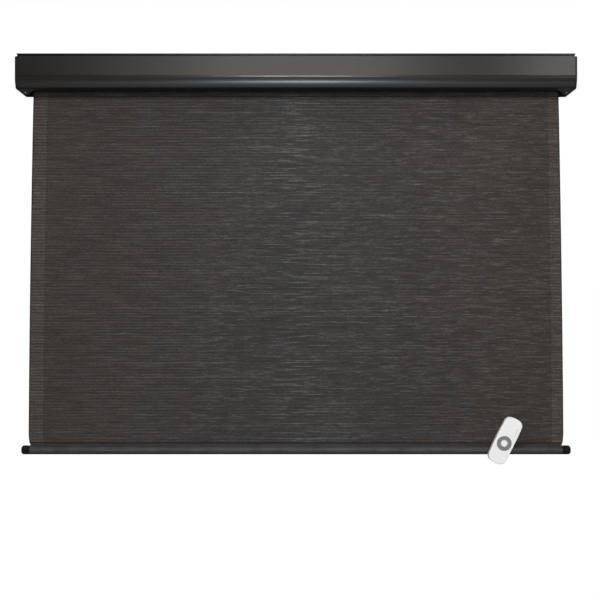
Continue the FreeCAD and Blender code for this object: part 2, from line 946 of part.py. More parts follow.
def idler_pin():
    tip = S.fit_gap - cap_inner
    chamfer = S.pin_chamfer
    tail_end = tail_start + S.pin_tail_length
    corners = [
        (tip, 0),
        (tip, S.pin_radius - chamfer),
        (tip + chamfer, S.pin_radius),
        (collar_start, S.pin_radius),
        (collar_start, S.pin_collar_radius),
        (tail_start, S.pin_collar_radius),
        (tail_start, S.pin_tail_radius),
        (tail_end, S.pin_tail_radius),
        (tail_end, 0),
    ]
    return rolled("idler_pin", corners)


def idler_plug():
    body = new_body("idler_plug", y=axis_y)
    bore = S.pin_radius + S.running_gap * 2
    flange = tube_left - S.plug_flange_wall
    corners = [
        (nose_end, bore),
        (nose_end, S.nose_radius),
        (flange, S.nose_radius),
        (flange, S.tube_radius),
        (tube_left, S.tube_radius),
        (tube_left, insert_radius),
        (plug_end, insert_radius),
        (plug_end, S.chamber_radius),
        (chamber_start, S.chamber_radius),
        (chamber_start, bore),
    ]
    turn(body, "XY_Plane", corners, "H_Axis")
    key_cut(body, tube_left, back=True)
    return kept(body, "idler_plug")


def key_cut(body, start, back):
    """The notch that takes the tube's inner channel, so that the two turn together."""
    sketch = new_sketch(body, "YZ_Plane", lift=start)
    half = key_width / 2
    add_outline(sketch, box_corners(-half, key_floor, half, S.tube_radius))
    pocket(body, sketch, back=back)


def idler_end_plug():
    radius = S.chamber_radius - S.insert_gap
    corners = [(chamber_floor, 0), (chamber_floor, radius), (plug_end, radius), (plug_end, 0)]
    return rolled("idler_end_plug", corners)


def idler_spring():
    """The room that the coil spring fills between the pin's collar and the end plug."""
    start, end = tail_start + S.fit_gap, chamber_floor - S.fit_gap
    inner = S.spring_mean_radius - S.spring_wire_radius
    outer = S.spring_mean_radius + S.spring_wire_radius
    return rolled("idler_spring", [(start, inner), (start, outer), (end, outer), (end, inner)])


# the motor end: a tubular motor held by the right bracket, with the tube turning round it
motor_end = head_face - S.motor_length
shaft_end = motor_end - S.shaft_reach
wheel_right = motor_end - S.wheel_gap
wheel_left = wheel_right - S.wheel_length


def motor_head():
    body = new_body("motor_head", y=axis_y)
    edge = S.head_edge
    corners = [
        (head_face, 0),
        (head_face, S.head_radius - edge),
        (head_face + edge, S.head_radius),
        (plate_inner, S.head_radius),
        (plate_inner, 0),
    ]
    turn(body, "XY_Plane", corners, "H_Axis")
    stub = new_sketch(body, "YZ_Plane", lift=plate_inner)
    half = S.stub_side / 2
    add_outline(stub, box_corners(-half, -half, half, half))
    pad(body, stub, S.bracket_wall - S.fit_gap)
    reach = S.head_radius + OVERRUN
    flat = new_sketch(body, "YZ_Plane", lift=head_face)
    add_outline(flat, box_corners(-reach, -reach, reach, -S.head_flat_drop))
    pocket(body, flat, S.head_length, back=True)
    seats = [(0, S.motor_screw_spacing / 2), (0, -S.motor_screw_spacing / 2)]
    depth = S.motor_screw_length - S.bracket_wall + S.fit_gap
    holes(body, "YZ_Plane", seats, S.motor_screw_radius + S.running_gap, plate_inner, depth)
    well = S.button_length - S.button_stand + S.button_travel + S.fit_gap
    bore = S.button_radius + S.running_gap * 2
    button_hole = [(button_x, button_y)]
    holes(body, "XY_Plane", button_hole, bore, -S.head_flat_drop, well, back=True)
    inlet = new_sketch(body, "XZ_Plane", lift=inlet_floor + S.fit_gap)
    across, up = S.inlet_width / 2 + S.insert_gap, S.inlet_height / 2 + S.insert_gap
    add_outline(inlet, box_corners(button_x - across, -up, button_x + across, up))
    pocket(body, inlet)
    return kept(body, "motor_head")


button_x = head_face + S.head_length / 2
button_y = -S.button_setback
inlet_floor = S.inlet_depth - S.inlet_stand - S.head_radius


def motor_housing():
    """The motor's steel tube, with the ring groove between the motor and its gearbox."""
    body = new_body("motor_housing", y=axis_y)
    joint = motor_end + S.gearbox_length
    groove = S.joint_groove
    bore = S.shaft_radius + S.running_gap
    seat = motor_end + S.shaft_seat
    corners = [
        (motor_end, bore),
        (motor_end, motor_radius - groove),
        (motor_end + groove, motor_radius),
        (joint, motor_radius),
        (joint, motor_radius - groove),
        (joint + groove * 2, motor_radius - groove),
        (joint + groove * 2, motor_radius),
        (head_face, motor_radius),
        (head_face, 0),
        (seat, 0),
        (seat, bore),
    ]
    turn(body, "XY_Plane", corners, "H_Axis")
    return kept(body, "motor_housing")


def crown_ring():
    body = new_body("crown_ring", y=axis_y)
    flange = tube_right + S.crown_flange_wall
    start = tube_right - S.crown_length
    corners = [
        (start, crown_bore),
        (start, insert_radius),
        (tube_right, insert_radius),
        (tube_right, S.tube_radius),
        (flange, S.tube_radius),
        (flange, crown_bore),
    ]
    turn(body, "XY_Plane", corners, "H_Axis")
    key_cut(body, tube_right, back=False)
    return kept(body, "crown_ring")


def shaft_outline(sketch, gap):
    """A round section with one flat on top: a chord, then three arcs of one radius."""
    radius = S.shaft_radius + gap
    flat = S.shaft_flat + gap
    half = other_leg(radius, flat)
    side, low = radius * 4 / 5, radius * 3 / 5
    corners = [(half, flat), (-half, flat, radius), (-side, -low, radius), (side, -low, radius)]
    add_outline(sketch, corners)


def motor_output_shaft():
    body = new_body("motor_output_shaft", y=axis_y)
    start = motor_end + S.shaft_seat - S.fit_gap
    corners = [
        (motor_end - S.fit_gap, 0),
        (motor_end - S.fit_gap, S.shaft_radius),
        (start, S.shaft_radius),
        (start, 0),
    ]
    turn(body, "XY_Plane", corners, "H_Axis")
    sketch = new_sketch(body, "YZ_Plane", lift=shaft_end)
    shaft_outline(sketch, as_size(0))
    pad(body, sketch, S.shaft_reach - S.fit_gap)
    ring = new_sketch(body, "YZ_Plane", lift=clip_x)
    add_circle(ring, 0, 0, S.shaft_radius + OVERRUN)
    add_circle(ring, 0, 0, S.shaft_radius - S.clip_groove_depth)
    pocket(body, ring, S.clip_wall + S.fit_gap, back=True)
    return kept(body, "motor_output_shaft")


clip_x = wheel_left - S.clip_wall - S.fit_gap * 2


def drive_wheel():
    """The spoked wheel that turns the tube, keyed to its channel and to the shaft's flat."""
    body = new_body("drive_wheel", y=axis_y)
    rim = insert_radius - S.wheel_rim_wall
    web = S.wheel_rib_wall / 2
    middle = (wheel_left + wheel_right) / 2
    corners = [
        (wheel_left, 0),
        (wheel_left, S.wheel_hub_radius),
        (middle - web, S.wheel_hub_radius),
        (middle - web, rim),
        (wheel_left, rim),
        (wheel_left, insert_radius),
        (wheel_right, insert_radius),
        (wheel_right, rim),
        (middle + web, rim),
        (middle + web, S.wheel_hub_radius),
        (wheel_right, S.wheel_hub_radius),
        (wheel_right, 0),
    ]
    turn(body, "XY_Plane", corners, "H_Axis")
    for plane_turn in range(4):
        spoke(body, plane_turn, rim)
    floor = new_sketch(body, "YZ_Plane", lift=wheel_left)
    side = key_width / 2 + S.wheel_rim_wall
    base = key_floor - S.wheel_rim_wall
    add_outline(floor, box_corners(-side, base, side, rim + S.wheel_rim_wall / 2))
    pad(body, floor, S.wheel_length)
    key_cut(body, wheel_right, back=False)
    bore = new_sketch(body, "YZ_Plane", lift=wheel_right)
    shaft_outline(bore, S.running_gap)
    pocket(body, bore)
    return kept(body, "drive_wheel")


def spoke(body, quarter, rim):
    """One rib from the hub to the rim, on both sides of the web."""
    half = S.wheel_rib_wall / 2
    near, far = S.wheel_hub_radius - half, rim + half
    boxes = [
        box_corners(near, -half, far, half),
        box_corners(-half, near, half, far),
        box_corners(-far, -half, -near, half),
        box_corners(-half, -far, half, -near),
    ]
    sketch = new_sketch(body, "YZ_Plane", lift=wheel_left)
    add_outline(sketch, boxes[quarter])
    pad(body, sketch, S.wheel_length)


def drive_wheel_clip():
    """The snap ring that keeps the wheel on the shaft, open at the bottom."""
    body = new_body("drive_wheel_clip", y=axis_y)
    bore = S.shaft_radius - S.clip_groove_depth + S.insert_gap
    ring = new_sketch(body, "YZ_Plane", lift=clip_x + S.insert_gap)
    add_circle(ring, 0, 0, S.clip_radius)
    add_circle(ring, 0, 0, bore)
    pad(body, ring, S.clip_wall)
    mouth = new_sketch(body, "YZ_Plane", lift=clip_x)
    half = S.clip_mouth / 2
    low = -S.clip_radius - OVERRUN
    add_outline(mouth, box_corners(-half, low, half, -S.clip_mouth_level))
    pocket(body, mouth, back=True)
    return kept(body, "drive_wheel_clip")


def motor_screws():
    body = new_body("motor_screws", y=axis_y)
    outline = pan_screw(
        S.motor_screw_radius,
        S.motor_screw_length,
        S.motor_screw_head_radius,
        S.motor_screw_head,
    )
    corners = [(cap_inner - along, radius) for radius, along in outline]
    for up in (S.motor_screw_spacing / 2, -S.motor_screw_spacing / 2):
        turn(body, "XY_Plane", corners, "H_Axis", lift=up)
    return kept(body, "motor_screws")


def power_inlet():
    """The socket for the supply lead, in the side of the motor's head that faces the wall."""
    body = new_body("power_inlet", y=axis_y)
    across, up = S.inlet_width / 2, S.inlet_height / 2
    block = new_sketch(body, "XZ_Plane", lift=inlet_floor)
    add_outline(block, box_corners(button_x - across, -up, button_x + across, up))
    pad(body, block, S.inlet_depth, back=True)
    slot = new_sketch(body, "XZ_Plane", lift=inlet_floor - S.inlet_depth)
    half, tall = S.inlet_slot_width / 2, S.inlet_slot_height
    for row in (-1, 0, 1):
        middle = S.inlet_slot_pitch * row
        corners = box_corners(button_x - half, middle - tall, button_x + half, middle + tall)
        add_outline(slot, corners)
    pocket(body, slot, S.inlet_slot_depth, back=True)
    return kept(body, "power_inlet")


def setting_button():
    """The limit setting button under the motor's head."""
    body = new_body("setting_button", y=axis_y)
    face = -S.head_flat_drop - S.button_stand
    head = S.button_length + face
    edge = S.button_edge
    corners = [
        (0, face),
        (S.button_radius - edge, face),
        (S.button_radius, face + edge),
        (S.button_radius, head),
        (0, head),
    ]
    turn(body, "XZ_Plane", corners, "V_Axis", lift=-button_y, across=button_x)
    return kept(body, "setting_button")


def fabric_panel():
    """The hanging cloth, with a folded hem down each side."""
    body = new_body("fabric_panel", z=seam)
    hem = half_cloth - S.side_hem_width
    back = cloth_front + S.cloth_wall
    rear = back + S.cloth_wall
    corners = [
        (-half_cloth, cloth_front),
        (half_cloth, cloth_front),
        (half_cloth, rear),
        (hem, rear),
        (hem, back),
        (-hem, back),
        (-hem, rear),
        (-half_cloth, rear),
    ]
    sketch = new_sketch(body, "XY_Plane")
    add_outline(sketch, corners)
    pad(body, sketch, S.cloth_length - S.seat_gap)
    return kept(body, "fabric_panel")


def hem_pocket():
    """The cloth's lower loop round the hem bar, drawn in to the seam above it."""
    body = new_body("hem_pocket", x=-half_cloth, y=hem_y, z=hem_z)
    disc = new_sketch(body, "YZ_Plane")
    add_circle(disc, 0, 0, hem_outer)
    pad(body, disc, cloth_width)
    half = S.hem_neck_width / 2
    root = other_leg(hem_ring, half)
    shoulder = other_leg(hem_outer, half)
    peak = hem_outer + S.hem_neck_height
    neck = [
        (-half, root),
        (half, root),
        (half, shoulder),
        (S.cloth_wall, peak),
        (-S.cloth_wall, peak),
        (-half, shoulder),
    ]
    along_x(body, neck, 0, cloth_width)
    holes(body, "YZ_Plane", [(0, 0)], hem_ring, cloth_width)
    return kept(body, "hem_pocket")


def hem_tube():
    body = new_body("hem_tube", x=-half_cloth, y=hem_y, z=hem_z)
    ring = new_sketch(body, "YZ_Plane")
    add_circle(ring, 0, 0, S.hem_tube_radius)
    add_circle(ring, 0, 0, S.hem_tube_radius - S.hem_tube_wall)
    pad(body, ring, cloth_width)
    return kept(body, "hem_tube")


ROUND_SHARE = 1 - math.cos(math.pi / 6)  # the cap's round edge goes in three straight steps


def hem_cap(side, node):
    """The moulded end of the hem bar: a hollow plug, a collar, a waist and a rounded end."""
    body = new_body(node, y=hem_y, z=hem_z)
    plug = S.hem_tube_radius - S.hem_tube_wall - S.insert_gap
    steps = [
        (-S.hem_plug_length, plug - S.hem_plug_wall),
        (-S.hem_plug_length, plug),
        (0, plug),
        (0, hem_outer),
        (S.hem_collar_length, hem_outer),
        (S.hem_collar_length, S.hem_waist_radius),
        (S.hem_collar_length + S.hem_waist_length, S.hem_waist_radius),
        (S.hem_collar_length + S.hem_waist_length, hem_outer),
    ]
    end = S.hem_collar_length + S.hem_waist_length + S.hem_end_length
    steps += [
        (end - S.hem_end_round, hem_outer),
        (end - S.hem_end_round / 2, hem_outer - S.hem_end_round * ROUND_SHARE),
        (end - S.hem_end_round * ROUND_SHARE, hem_outer - S.hem_end_round / 2),
        (end, hem_outer - S.hem_end_round),
        (end, 0),
        (0, 0),
        (0, plug - S.hem_plug_wall),
    ]
    corners = [(side * (half_cloth + step[0]), *step[1:]) for step in steps]
    turn(body, "XY_Plane", corners, "H_Axis")
    return kept(body, node)


# the remote: its own X to the right, its own Z to its top, and -Y out of its face
remote_face = S.remote_depth
remote_inner = S.remote_depth - S.remote_wall
ring_face = S.remote_depth + S.ring_stand
ring_back = ring_face - S.ring_height
stop_face = S.remote_depth + S.stop_stand
stop_back = stop_face - S.stop_height
ring_bore = S.stop_radius + S.ring_inner_gap
board_front = S.board_level + S.board_wall
mat_front = board_front + S.mat_wall


def in_remote(thing):
    """Puts an object in the remote's place, in front of the hem bar and leaning to the right."""
    thing.Placement = FreeCAD.Placement(
        FreeCAD.Vector(), FreeCAD.Rotation(FreeCAD.Vector(0, 1, 0), S.remote_tilt.value)
    )
    bind(thing, "Placement.Rotation.Angle", S.remote_tilt)
    place(
        thing,
        S.remote_across,
        hem_y - hem_outer - S.remote_back_gap,
        seam + S.remote_above_seam,
    )
    return thing


def remote_body(name):
    return in_remote(doc.addObject("PartDesign::Body", name))


def slab(body, corners, start, depth):
    """A form drawn in the remote's front view, from start to start + depth in front of its back."""
    sketch = new_sketch(body, "XZ_Plane", lift=start)
    add_outline(sketch, corners)
    return pad(body, sketch, depth)


def discs(body, places, radius, start, depth):
    for across, up in places:
        sketch = new_sketch(body, "XZ_Plane", lift=start)
        add_circle(sketch, across, up, radius)
        pad(body, sketch, depth)
    return body


def corner_turns(side_centre, end_centre, side_reach, end_reach):
    """The middle of the corner arc that meets a side and an end, and where the arc begins and stops."""
    way = FreeCAD.Vector(-side_centre, end_centre, 0)
    along = (side_reach**2 - end_reach**2 + way.Length**2) / (way.Length * 2)
    beside = math.sqrt(side_reach**2 - along**2)
    way.normalize()
    across = side_centre + way.x * along - way.y * beside
    up = way.y * along + way.x * beside
    return across, up, math.atan2(up, across - side_centre), math.atan2(up - end_centre, across)


def add_case_outline(sketch, inset):
    """The remote's bowed sides and ends, joined by four tangent corners, inset all round."""
    side_radius, end_radius = S.remote_side_curve - inset, S.remote_end_curve - inset
    corner = S.remote_corner_radius - inset
    side_centre = S.remote_width / 2 - S.remote_side_curve
    end_centre = S.remote_length / 2 - S.remote_end_curve
    across, up, first, last = corner_turns(
        side_centre.value,
        end_centre.value,
        (side_radius - corner).value,
        (end_radius - corner).value,
    )
    turns = [-last, -first, first, last]
    turns += [angle + math.pi for angle in turns] + [math.tau - last]
    arcs = [
        (across, -up, corner),
        (side_centre, 0, side_radius),
        (across, up, corner),
        (0, end_centre, end_radius),
        (-across, up, corner),
        (-side_centre, 0, side_radius),
        (-across, -up, corner),
        (0, -end_centre, end_radius),
    ]
    for index, (x, y, radius) in enumerate(arcs):
        centre = FreeCAD.Vector(as_size(x).value, as_size(y).value, 0)
        circle = Part.Circle(centre, FreeCAD.Vector(0, 0, 1), radius.value)
        arc = Part.ArcOfCircle(circle, turns[index], turns[index + 1])
        sketch.addGeometry(arc, False)
    for index, (x, y, radius) in enumerate(arcs):
        after = (index + 1) % len(arcs)
        sketch.addConstraint(Sketcher.Constraint("Tangent", index, 2, after, 1))
        pin_radius(sketch, index, radius)
        if radius is not corner:
            pin_point(sketch, index, 3, x, y)


def case_form(name, inset, start, depth, rounded_face=None):
    """A solid with the remote's outline, inset all round, with one face's edge rounded if wanted."""
    body = remote_body(name)
    sketch = new_sketch(body, "XZ_Plane", lift=start)
    add_case_outline(sketch, inset)
    form = pad(body, sketch, depth)
    if rounded_face is not None:
        level = -rounded_face.value
        round_edges(
            body,
            form,
            S.remote_edge_radius,
            lambda edge: abs(edge.CenterOfMass.y - level) < 0.001,
        )
    return body


def join(kind, name, base, tool):
    """A cut or common of two objects."""
    made = doc.addObject(f"Part::{kind}", name)
    made.Base = base
    made.Tool = tool
    return made


def fuse(name, *things):
    made = doc.addObject("Part::MultiFuse", name)
    made.Shapes = list(things)
    return made


def post_places():
    across, up = S.post_across, S.post_up
    return [(x * across, z * up) for x in (LEFT, RIGHT) for z in (LEFT, RIGHT)]


def light_bars(name, gap, start, depth):
    """The row of light windows, or with a gap the slots that they sit in."""
    body = remote_body(name)
    half_across, half_up = S.light_length / 2 + gap, S.light_width / 2 + gap
    low = S.light_up - S.light_pitch * (S.light_count - 1) / 2
    corners = box_corners(
        S.light_across - half_across,
        low - half_up,
        S.light_across + half_across,
        low + half_up,
    )
    bar = slab(body, corners, start, depth)
    row = body.newObject("PartDesign::LinearPattern", "Row")
    row.Originals = [bar]
    row.Direction = (origin_part(body, "Z_Axis"), [""])
    bind(row, "Length", S.light_pitch * (S.light_count - 1))
    row.Occurrences = int(S.light_count.value)
    body.Tip = row
    return body


def remote_top_shell():
    back = S.remote_back_depth
    outer = case_form("TopForm", 0, back, S.remote_depth - back, remote_face)
    hollow = case_form("TopHollow", S.remote_wall, back, remote_inner - back)
    walls = join("Cut", "TopWalls", outer, hollow)
    posts = discs(
        remote_body("TopPosts"), post_places(), S.post_radius, back, remote_inner - back
    )
    openings = remote_body("TopOpenings")
    through_front = S.remote_wall + OVERRUN * 2
    ring = [(0, -S.ring_drop)]
    discs(openings, ring, S.ring_radius + S.ring_gap, remote_inner - OVERRUN, through_front)
    depth = S.post_screw_sink + S.post_screw_length - back + S.fit_gap
    discs(openings, post_places(), S.post_screw_radius + S.running_gap, back, depth)
    slots = light_bars("LightSlots", S.light_gap, remote_inner - OVERRUN, through_front)
    whole = fuse("TopWhole", walls, posts)
    cut = join("Cut", "TopCut", whole, openings)
    return kept(join("Cut", "remote_top_shell", cut, slots), "remote_top_shell")


def remote_back_pieces():
    """The back shell and the battery door, which is a piece of the same outer form."""
    back = S.remote_back_depth
    wall = S.remote_wall
    outer = case_form("BackForm", 0, 0, back, as_size(0))
    hollow = case_form("BackHollow", wall, wall, back - wall)
    posts = discs(remote_body("BackPosts"), post_places(), S.post_radius, wall, back - wall)
    rests = remote_body("BoardRests")
    for up in (S.board_rest_up, S.board_rest_low):
        half, thick = S.board_rest_width / 2, S.board_rest_wall / 2
        slab(rests, box_corners(-half, up - thick, half, up + thick), wall, S.board_level - wall)
    openings = remote_body("BackOpenings")
    well = S.post_screw_sink + OVERRUN
    discs(openings, post_places(), S.post_screw_head_radius + S.fit_gap, -OVERRUN, well)
    discs(openings, post_places(), S.post_screw_radius + S.screw_gap, 0, back)
    low = -S.remote_length
    half = S.door_width / 2
    door_hole = remote_body("DoorHole")
    depth = S.door_wall + S.door_gap + OVERRUN
    slab(door_hole, box_corners(-half, low, half, -S.door_top), -OVERRUN, depth)
    whole = fuse("BackWhole", join("Cut", "BackWalls", outer, hollow), posts, rests)
    cut = join("Cut", "BackCut", whole, openings)
    kept(join("Cut", "remote_back_shell", cut, door_hole), "remote_back_shell")
    door_form = remote_body("DoorForm")
    gap = S.door_gap
    slab(
        door_form,
        box_corners(gap - half, low, half - gap, -S.door_top - gap),
        0,
        S.door_wall,
    )
    kept(join("Common", "remote_battery_door", outer, door_form), "remote_battery_door")


def remote_ring_pad():
    """The rocking ring, with fine grooves turned in its face."""
    body = remote_body("remote_ring_pad")
    face = -ring_face
    back = -ring_back
    flange = S.ring_radius + S.ring_flange_reach
    edge = S.ring_edge
    corners = [(ring_bore, back), (ring_bore, face + edge), (ring_bore + edge, face)]
    for count in range(int(S.ring_groove_count.value)):
        start = ring_bore + S.ring_groove_inset + S.ring_groove_pitch * count
        corners += [
            (start, face),
            (start + S.ring_groove_width / 2, face + S.ring_groove_depth),
            (start + S.ring_groove_width, face),
        ]
    corners += [
        (S.ring_radius - edge, face),
        (S.ring_radius, face + edge),
        (S.ring_radius, back - S.ring_flange_wall),
        (flange, back - S.ring_flange_wall),
        (flange, back),
    ]
    turn(body, "XY_Plane", corners, "V_Axis", lift=-S.ring_drop)
    return kept(body, "remote_ring_pad")


def remote_stop_button():
    body = remote_body("remote_stop_button")
    edge = S.stop_edge
    corners = [
        (0, -stop_back),
        (0, -stop_face),
        (S.stop_radius - edge, -stop_face),
        (S.stop_radius, edge - stop_face),
        (S.stop_radius, -stop_back),
    ]
    turn(body, "XY_Plane", corners, "V_Axis", lift=-S.ring_drop)
    return kept(body, "remote_stop_button")


def remote_status_lights():
    body = light_bars("remote_status_lights", 0, remote_face - S.light_depth, S.light_depth)
    return kept(body, "remote_status_lights")


def remote_circuit_board():
    body = remote_body("remote_circuit_board")
    across, up = S.board_width / 2, S.board_length / 2
    slab(body, box_corners(-across, -up, across, up), S.board_level, S.board_wall)
    return kept(body, "remote_circuit_board")


def remote_key_mat():
    """The soft sheet with a bump under each side of the ring and one under the middle button."""
    body = remote_body("remote_key_mat")
    middle = -S.ring_drop
    half = S.board_width / 2 - S.mat_edge
    slab(body, box_corners(-half, middle - half, half, middle + half), board_front, S.mat_wall)
    reach = S.mat_bump_ring
    bumps = [(reach, middle), (-reach, middle), (0, middle + reach), (0, middle - reach)]
    rise = ring_back - S.mat_bump_gap - mat_front
    discs(body, bumps, S.mat_bump_radius, mat_front, rise)
    rise = stop_back - S.stop_travel - S.fit_gap - mat_front
    discs(body, [(0, middle)], S.mat_middle_radius, mat_front, rise)
    return kept(body, "remote_key_mat")


def remote_battery():
    body = remote_body("remote_battery")
    start = S.board_level - S.contact_wall - S.fit_gap - S.cell_height
    discs(body, [(0, -S.cell_down)], S.cell_radius, start, S.cell_height)
    return kept(body, "remote_battery")


def remote_battery_holder():
    body = remote_body("remote_battery_holder")
    bore = S.cell_radius + S.fit_gap
    ring = new_sketch(body, "XZ_Plane", lift=S.board_level - S.cell_holder_height)
    add_circle(ring, 0, -S.cell_down, bore + S.cell_holder_wall)
    add_circle(ring, 0, -S.cell_down, bore)
    pad(body, ring, S.cell_holder_height)
    return kept(body, "remote_battery_holder")


def remote_battery_contact():
    body = remote_body("remote_battery_contact")
    across, up = S.contact_width / 2, S.contact_length / 2
    middle = -S.cell_down
    outline = box_corners(-across, middle - up, across, middle + up)
    slab(body, outline, S.board_level - S.contact_wall, S.contact_wall)
    return kept(body, "remote_battery_contact")


def remote_case_screws():
    body = remote_body("remote_case_screws")
    outline = pan_screw(
        S.post_screw_radius,
        S.post_screw_length,
        S.post_screw_head_radius,
        S.post_screw_head,
    )
    corners = [(-S.post_screw_sink - along, radius) for radius, along in outline]
    for across, up in post_places():
        turn(body, "YZ_Plane", corners, "H_Axis", lift=across, up=up)
    return kept(body, "remote_case_screws")


def write_parts():
    """Checks every object and sub-part, then writes one file for each sub-part."""
    doc.recompute()
    for thing in doc.Objects:
        if "Invalid" in thing.State or "Error" in thing.State:
            raise RuntimeError(f"{thing.Label} could not be built")
    for part in parts:
        if part.Shape.isNull() or not part.Shape.isValid():
            raise RuntimeError(f"{part.Label} has no valid shape")
    os.makedirs("parts", exist_ok=True)
    for part in parts:
        part.Shape.exportStep(f"parts/{part.Label}.step")


top_rail()
front_fascia()
end_cap(LEFT, "end_cap_left")
end_cap(RIGHT, "end_cap_right")
bracket(LEFT, "bracket_left")
bracket(RIGHT, "bracket_right")
end_cap_screws()
rail_screws()
fascia_screws()
roller_tube()
fabric_spline()
fabric_roll()
idler_bush()
idler_pin()
idler_plug()
idler_end_plug()
idler_spring()
motor_head()
motor_housing()
crown_ring()
motor_output_shaft()
drive_wheel()
drive_wheel_clip()
motor_screws()
power_inlet()
setting_button()
fabric_panel()
hem_pocket()
hem_tube()
hem_cap(LEFT, "hem_cap_left")
hem_cap(RIGHT, "hem_cap_right")
remote_top_shell()
remote_back_pieces()
remote_ring_pad()
remote_stop_button()
remote_status_lights()
remote_circuit_board()
remote_key_mat()
remote_battery()
remote_battery_holder()
remote_battery_contact()
remote_case_screws()
write_parts()
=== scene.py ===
import json
import math

import bmesh
import bpy
from bpy.props import FloatProperty, FloatVectorProperty, IntProperty, PointerProperty
from mathutils import Matrix, Vector


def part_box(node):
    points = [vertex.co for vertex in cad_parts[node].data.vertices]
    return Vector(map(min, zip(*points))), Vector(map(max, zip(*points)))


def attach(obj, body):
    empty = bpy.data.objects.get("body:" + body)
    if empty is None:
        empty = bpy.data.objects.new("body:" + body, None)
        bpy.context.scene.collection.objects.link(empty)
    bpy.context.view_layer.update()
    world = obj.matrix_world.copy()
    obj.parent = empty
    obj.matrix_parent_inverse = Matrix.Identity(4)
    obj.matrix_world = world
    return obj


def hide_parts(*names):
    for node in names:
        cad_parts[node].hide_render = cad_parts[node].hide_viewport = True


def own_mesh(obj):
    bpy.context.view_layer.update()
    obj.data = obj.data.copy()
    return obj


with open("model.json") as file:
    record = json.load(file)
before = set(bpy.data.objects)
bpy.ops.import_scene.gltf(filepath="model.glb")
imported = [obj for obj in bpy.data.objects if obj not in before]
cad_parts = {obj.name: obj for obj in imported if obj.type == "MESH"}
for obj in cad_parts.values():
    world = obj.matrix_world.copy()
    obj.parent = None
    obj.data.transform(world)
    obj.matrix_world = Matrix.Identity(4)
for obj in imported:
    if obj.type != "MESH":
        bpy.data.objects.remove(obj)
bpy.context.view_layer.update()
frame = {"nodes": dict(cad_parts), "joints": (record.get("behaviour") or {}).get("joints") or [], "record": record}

bl_info = {
    "name": "Motorized outdoor shade",
    "version": (1, 0, 0),
    "blender": (4, 5, 0),
    "location": "View3D > Sidebar > Shade",
    "description": "Dresses the built shade: coats, plastics, woven cloth, stitching and screws",
    "category": "Object",
}

MM = 0.001

# places read from the built model
PANEL_LOW, PANEL_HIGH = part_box("fabric_panel")
DROP = PANEL_HIGH.z - PANEL_LOW.z
HEM_TUBE_LOW, HEM_TUBE_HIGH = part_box("hem_tube")
POCKET_LOW, POCKET_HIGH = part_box("hem_pocket")
TUBE_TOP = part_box("roller_tube")[1].z
ROLL_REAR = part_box("fabric_roll")[1].y
FASCIA_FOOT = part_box("front_fascia")[0].z
WING_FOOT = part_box("end_cap_left")[0].z
SLOTS = {part["node"]: part["material_slot"] for part in frame["record"]["subparts"]}
JOINTS = {joint["name"]: joint for joint in frame["joints"]}
ROLLER_AXIS = Vector(JOINTS["roller_spin"]["pos_m"])
RING_CENTRE = Vector(JOINTS["ring_rock"]["pos_m"])
REMOTE_LEAN = math.atan2(-JOINTS["ring_rock"]["axis"][2], JOINTS["ring_rock"]["axis"][0])
LIFT = JOINTS["shade_lift"]["range_m"][1]

PREFIX = "finish_"  # keeps the script's materials apart from the built model's
SLACK = 0.3 * MM  # between wound cloth and the tube under it
ALIGNED = 0.9  # least cosine between a face's normal and the way it is said to face

# the ring's turned grooves and its rim, in mm from its centre
GROOVE_START, GROOVE_END, GROOVE_PITCH = 13.35, 22.7, 1.75
RING_RIM = 24.3


def colour_property(name, description, default):
    return FloatVectorProperty(
        name=name, description=description, subtype="COLOR", size=3, min=0, max=1, default=default
    )


def length_property(name, description, default):
    return FloatProperty(name=name, description=description, unit="LENGTH", min=0, default=default)


class ShadeColours(bpy.types.PropertyGroup):
    """Colours that a buyer could choose."""

    coat: colour_property("Coat", "Powder coat of the headbox", (0.0095, 0.0078, 0.007))
    moulding: colour_property("Moulding", "End caps and hem bar ends", (0.002, 0.002, 0.0022))
    cloth: colour_property("Cloth", "Yarn of the shade cloth", (0.054, 0.05, 0.048))
    hem: colour_property("Hem", "Cloth drawn tight round the hem bar", (0.042, 0.04, 0.043))
    case: colour_property("Case", "Shell of the remote", (0.83, 0.83, 0.835))
    ring: colour_property("Ring", "Rocking ring of the remote", (0.42, 0.43, 0.43))


class ShadeCloth(bpy.types.PropertyGroup):
    """Sizes of the cloth, its hems and its thread."""

    wall: length_property("Thickness", "Thickness of the cloth", 0.55 * MM)
    left_hem: length_property("Left hem", "Width folded back at the left", 48 * MM)
    right_hem: length_property("Right hem", "Width folded back at the right", 38 * MM)
    narrow: length_property("Narrowing", "How much each edge draws in at the top", 8 * MM)
    flare: length_property("Flare", "How far each edge spreads on its way down", 14.5 * MM)
    pinch: length_property("Pinch", "How far the seam draws each edge in again", 4 * MM)
    rib: length_property("Rib", "Distance between the thick yarns", 9.64 * MM)
    sway: length_property("Sway", "How far the hanging cloth leaves a plane", 0.9 * MM)
    yarn: length_property("Yarn pitch", "Distance from yarn to yarn", 0.9 * MM)
    stitch: length_property("Stitch", "Distance from stitch to stitch", 7.2 * MM)
    thread: length_property("Thread", "Thickness of the sewing thread", 0.9 * MM)
    cell: length_property("Mesh size", "Edge of one cell of the cloth's mesh", 11 * MM)
    wrap_turns: FloatProperty(name="Turns", description="Turns left on the tube", default=2.25)


class ShadeStage(bpy.types.PropertyGroup):
    """The camera, the floor and its backdrop."""

    focal: FloatProperty(name="Focal length", description="Camera lens in mm", default=49.7)
    distance: length_property("Distance", "From the camera to the wall plane", 2.801)
    eye_drop: length_property("Eye drop", "From the headbox's middle down to the camera", 0.7775)
    pitch: FloatProperty(
        name="Pitch", description="Upward tilt of the camera", subtype="ANGLE", default=0.00855
    )
    floor_drop: length_property("Floor", "How far the floor is below the headbox", 1.62)
    bend_steps: IntProperty(name="Bend", description="Steps of the backdrop's bend", default=12)


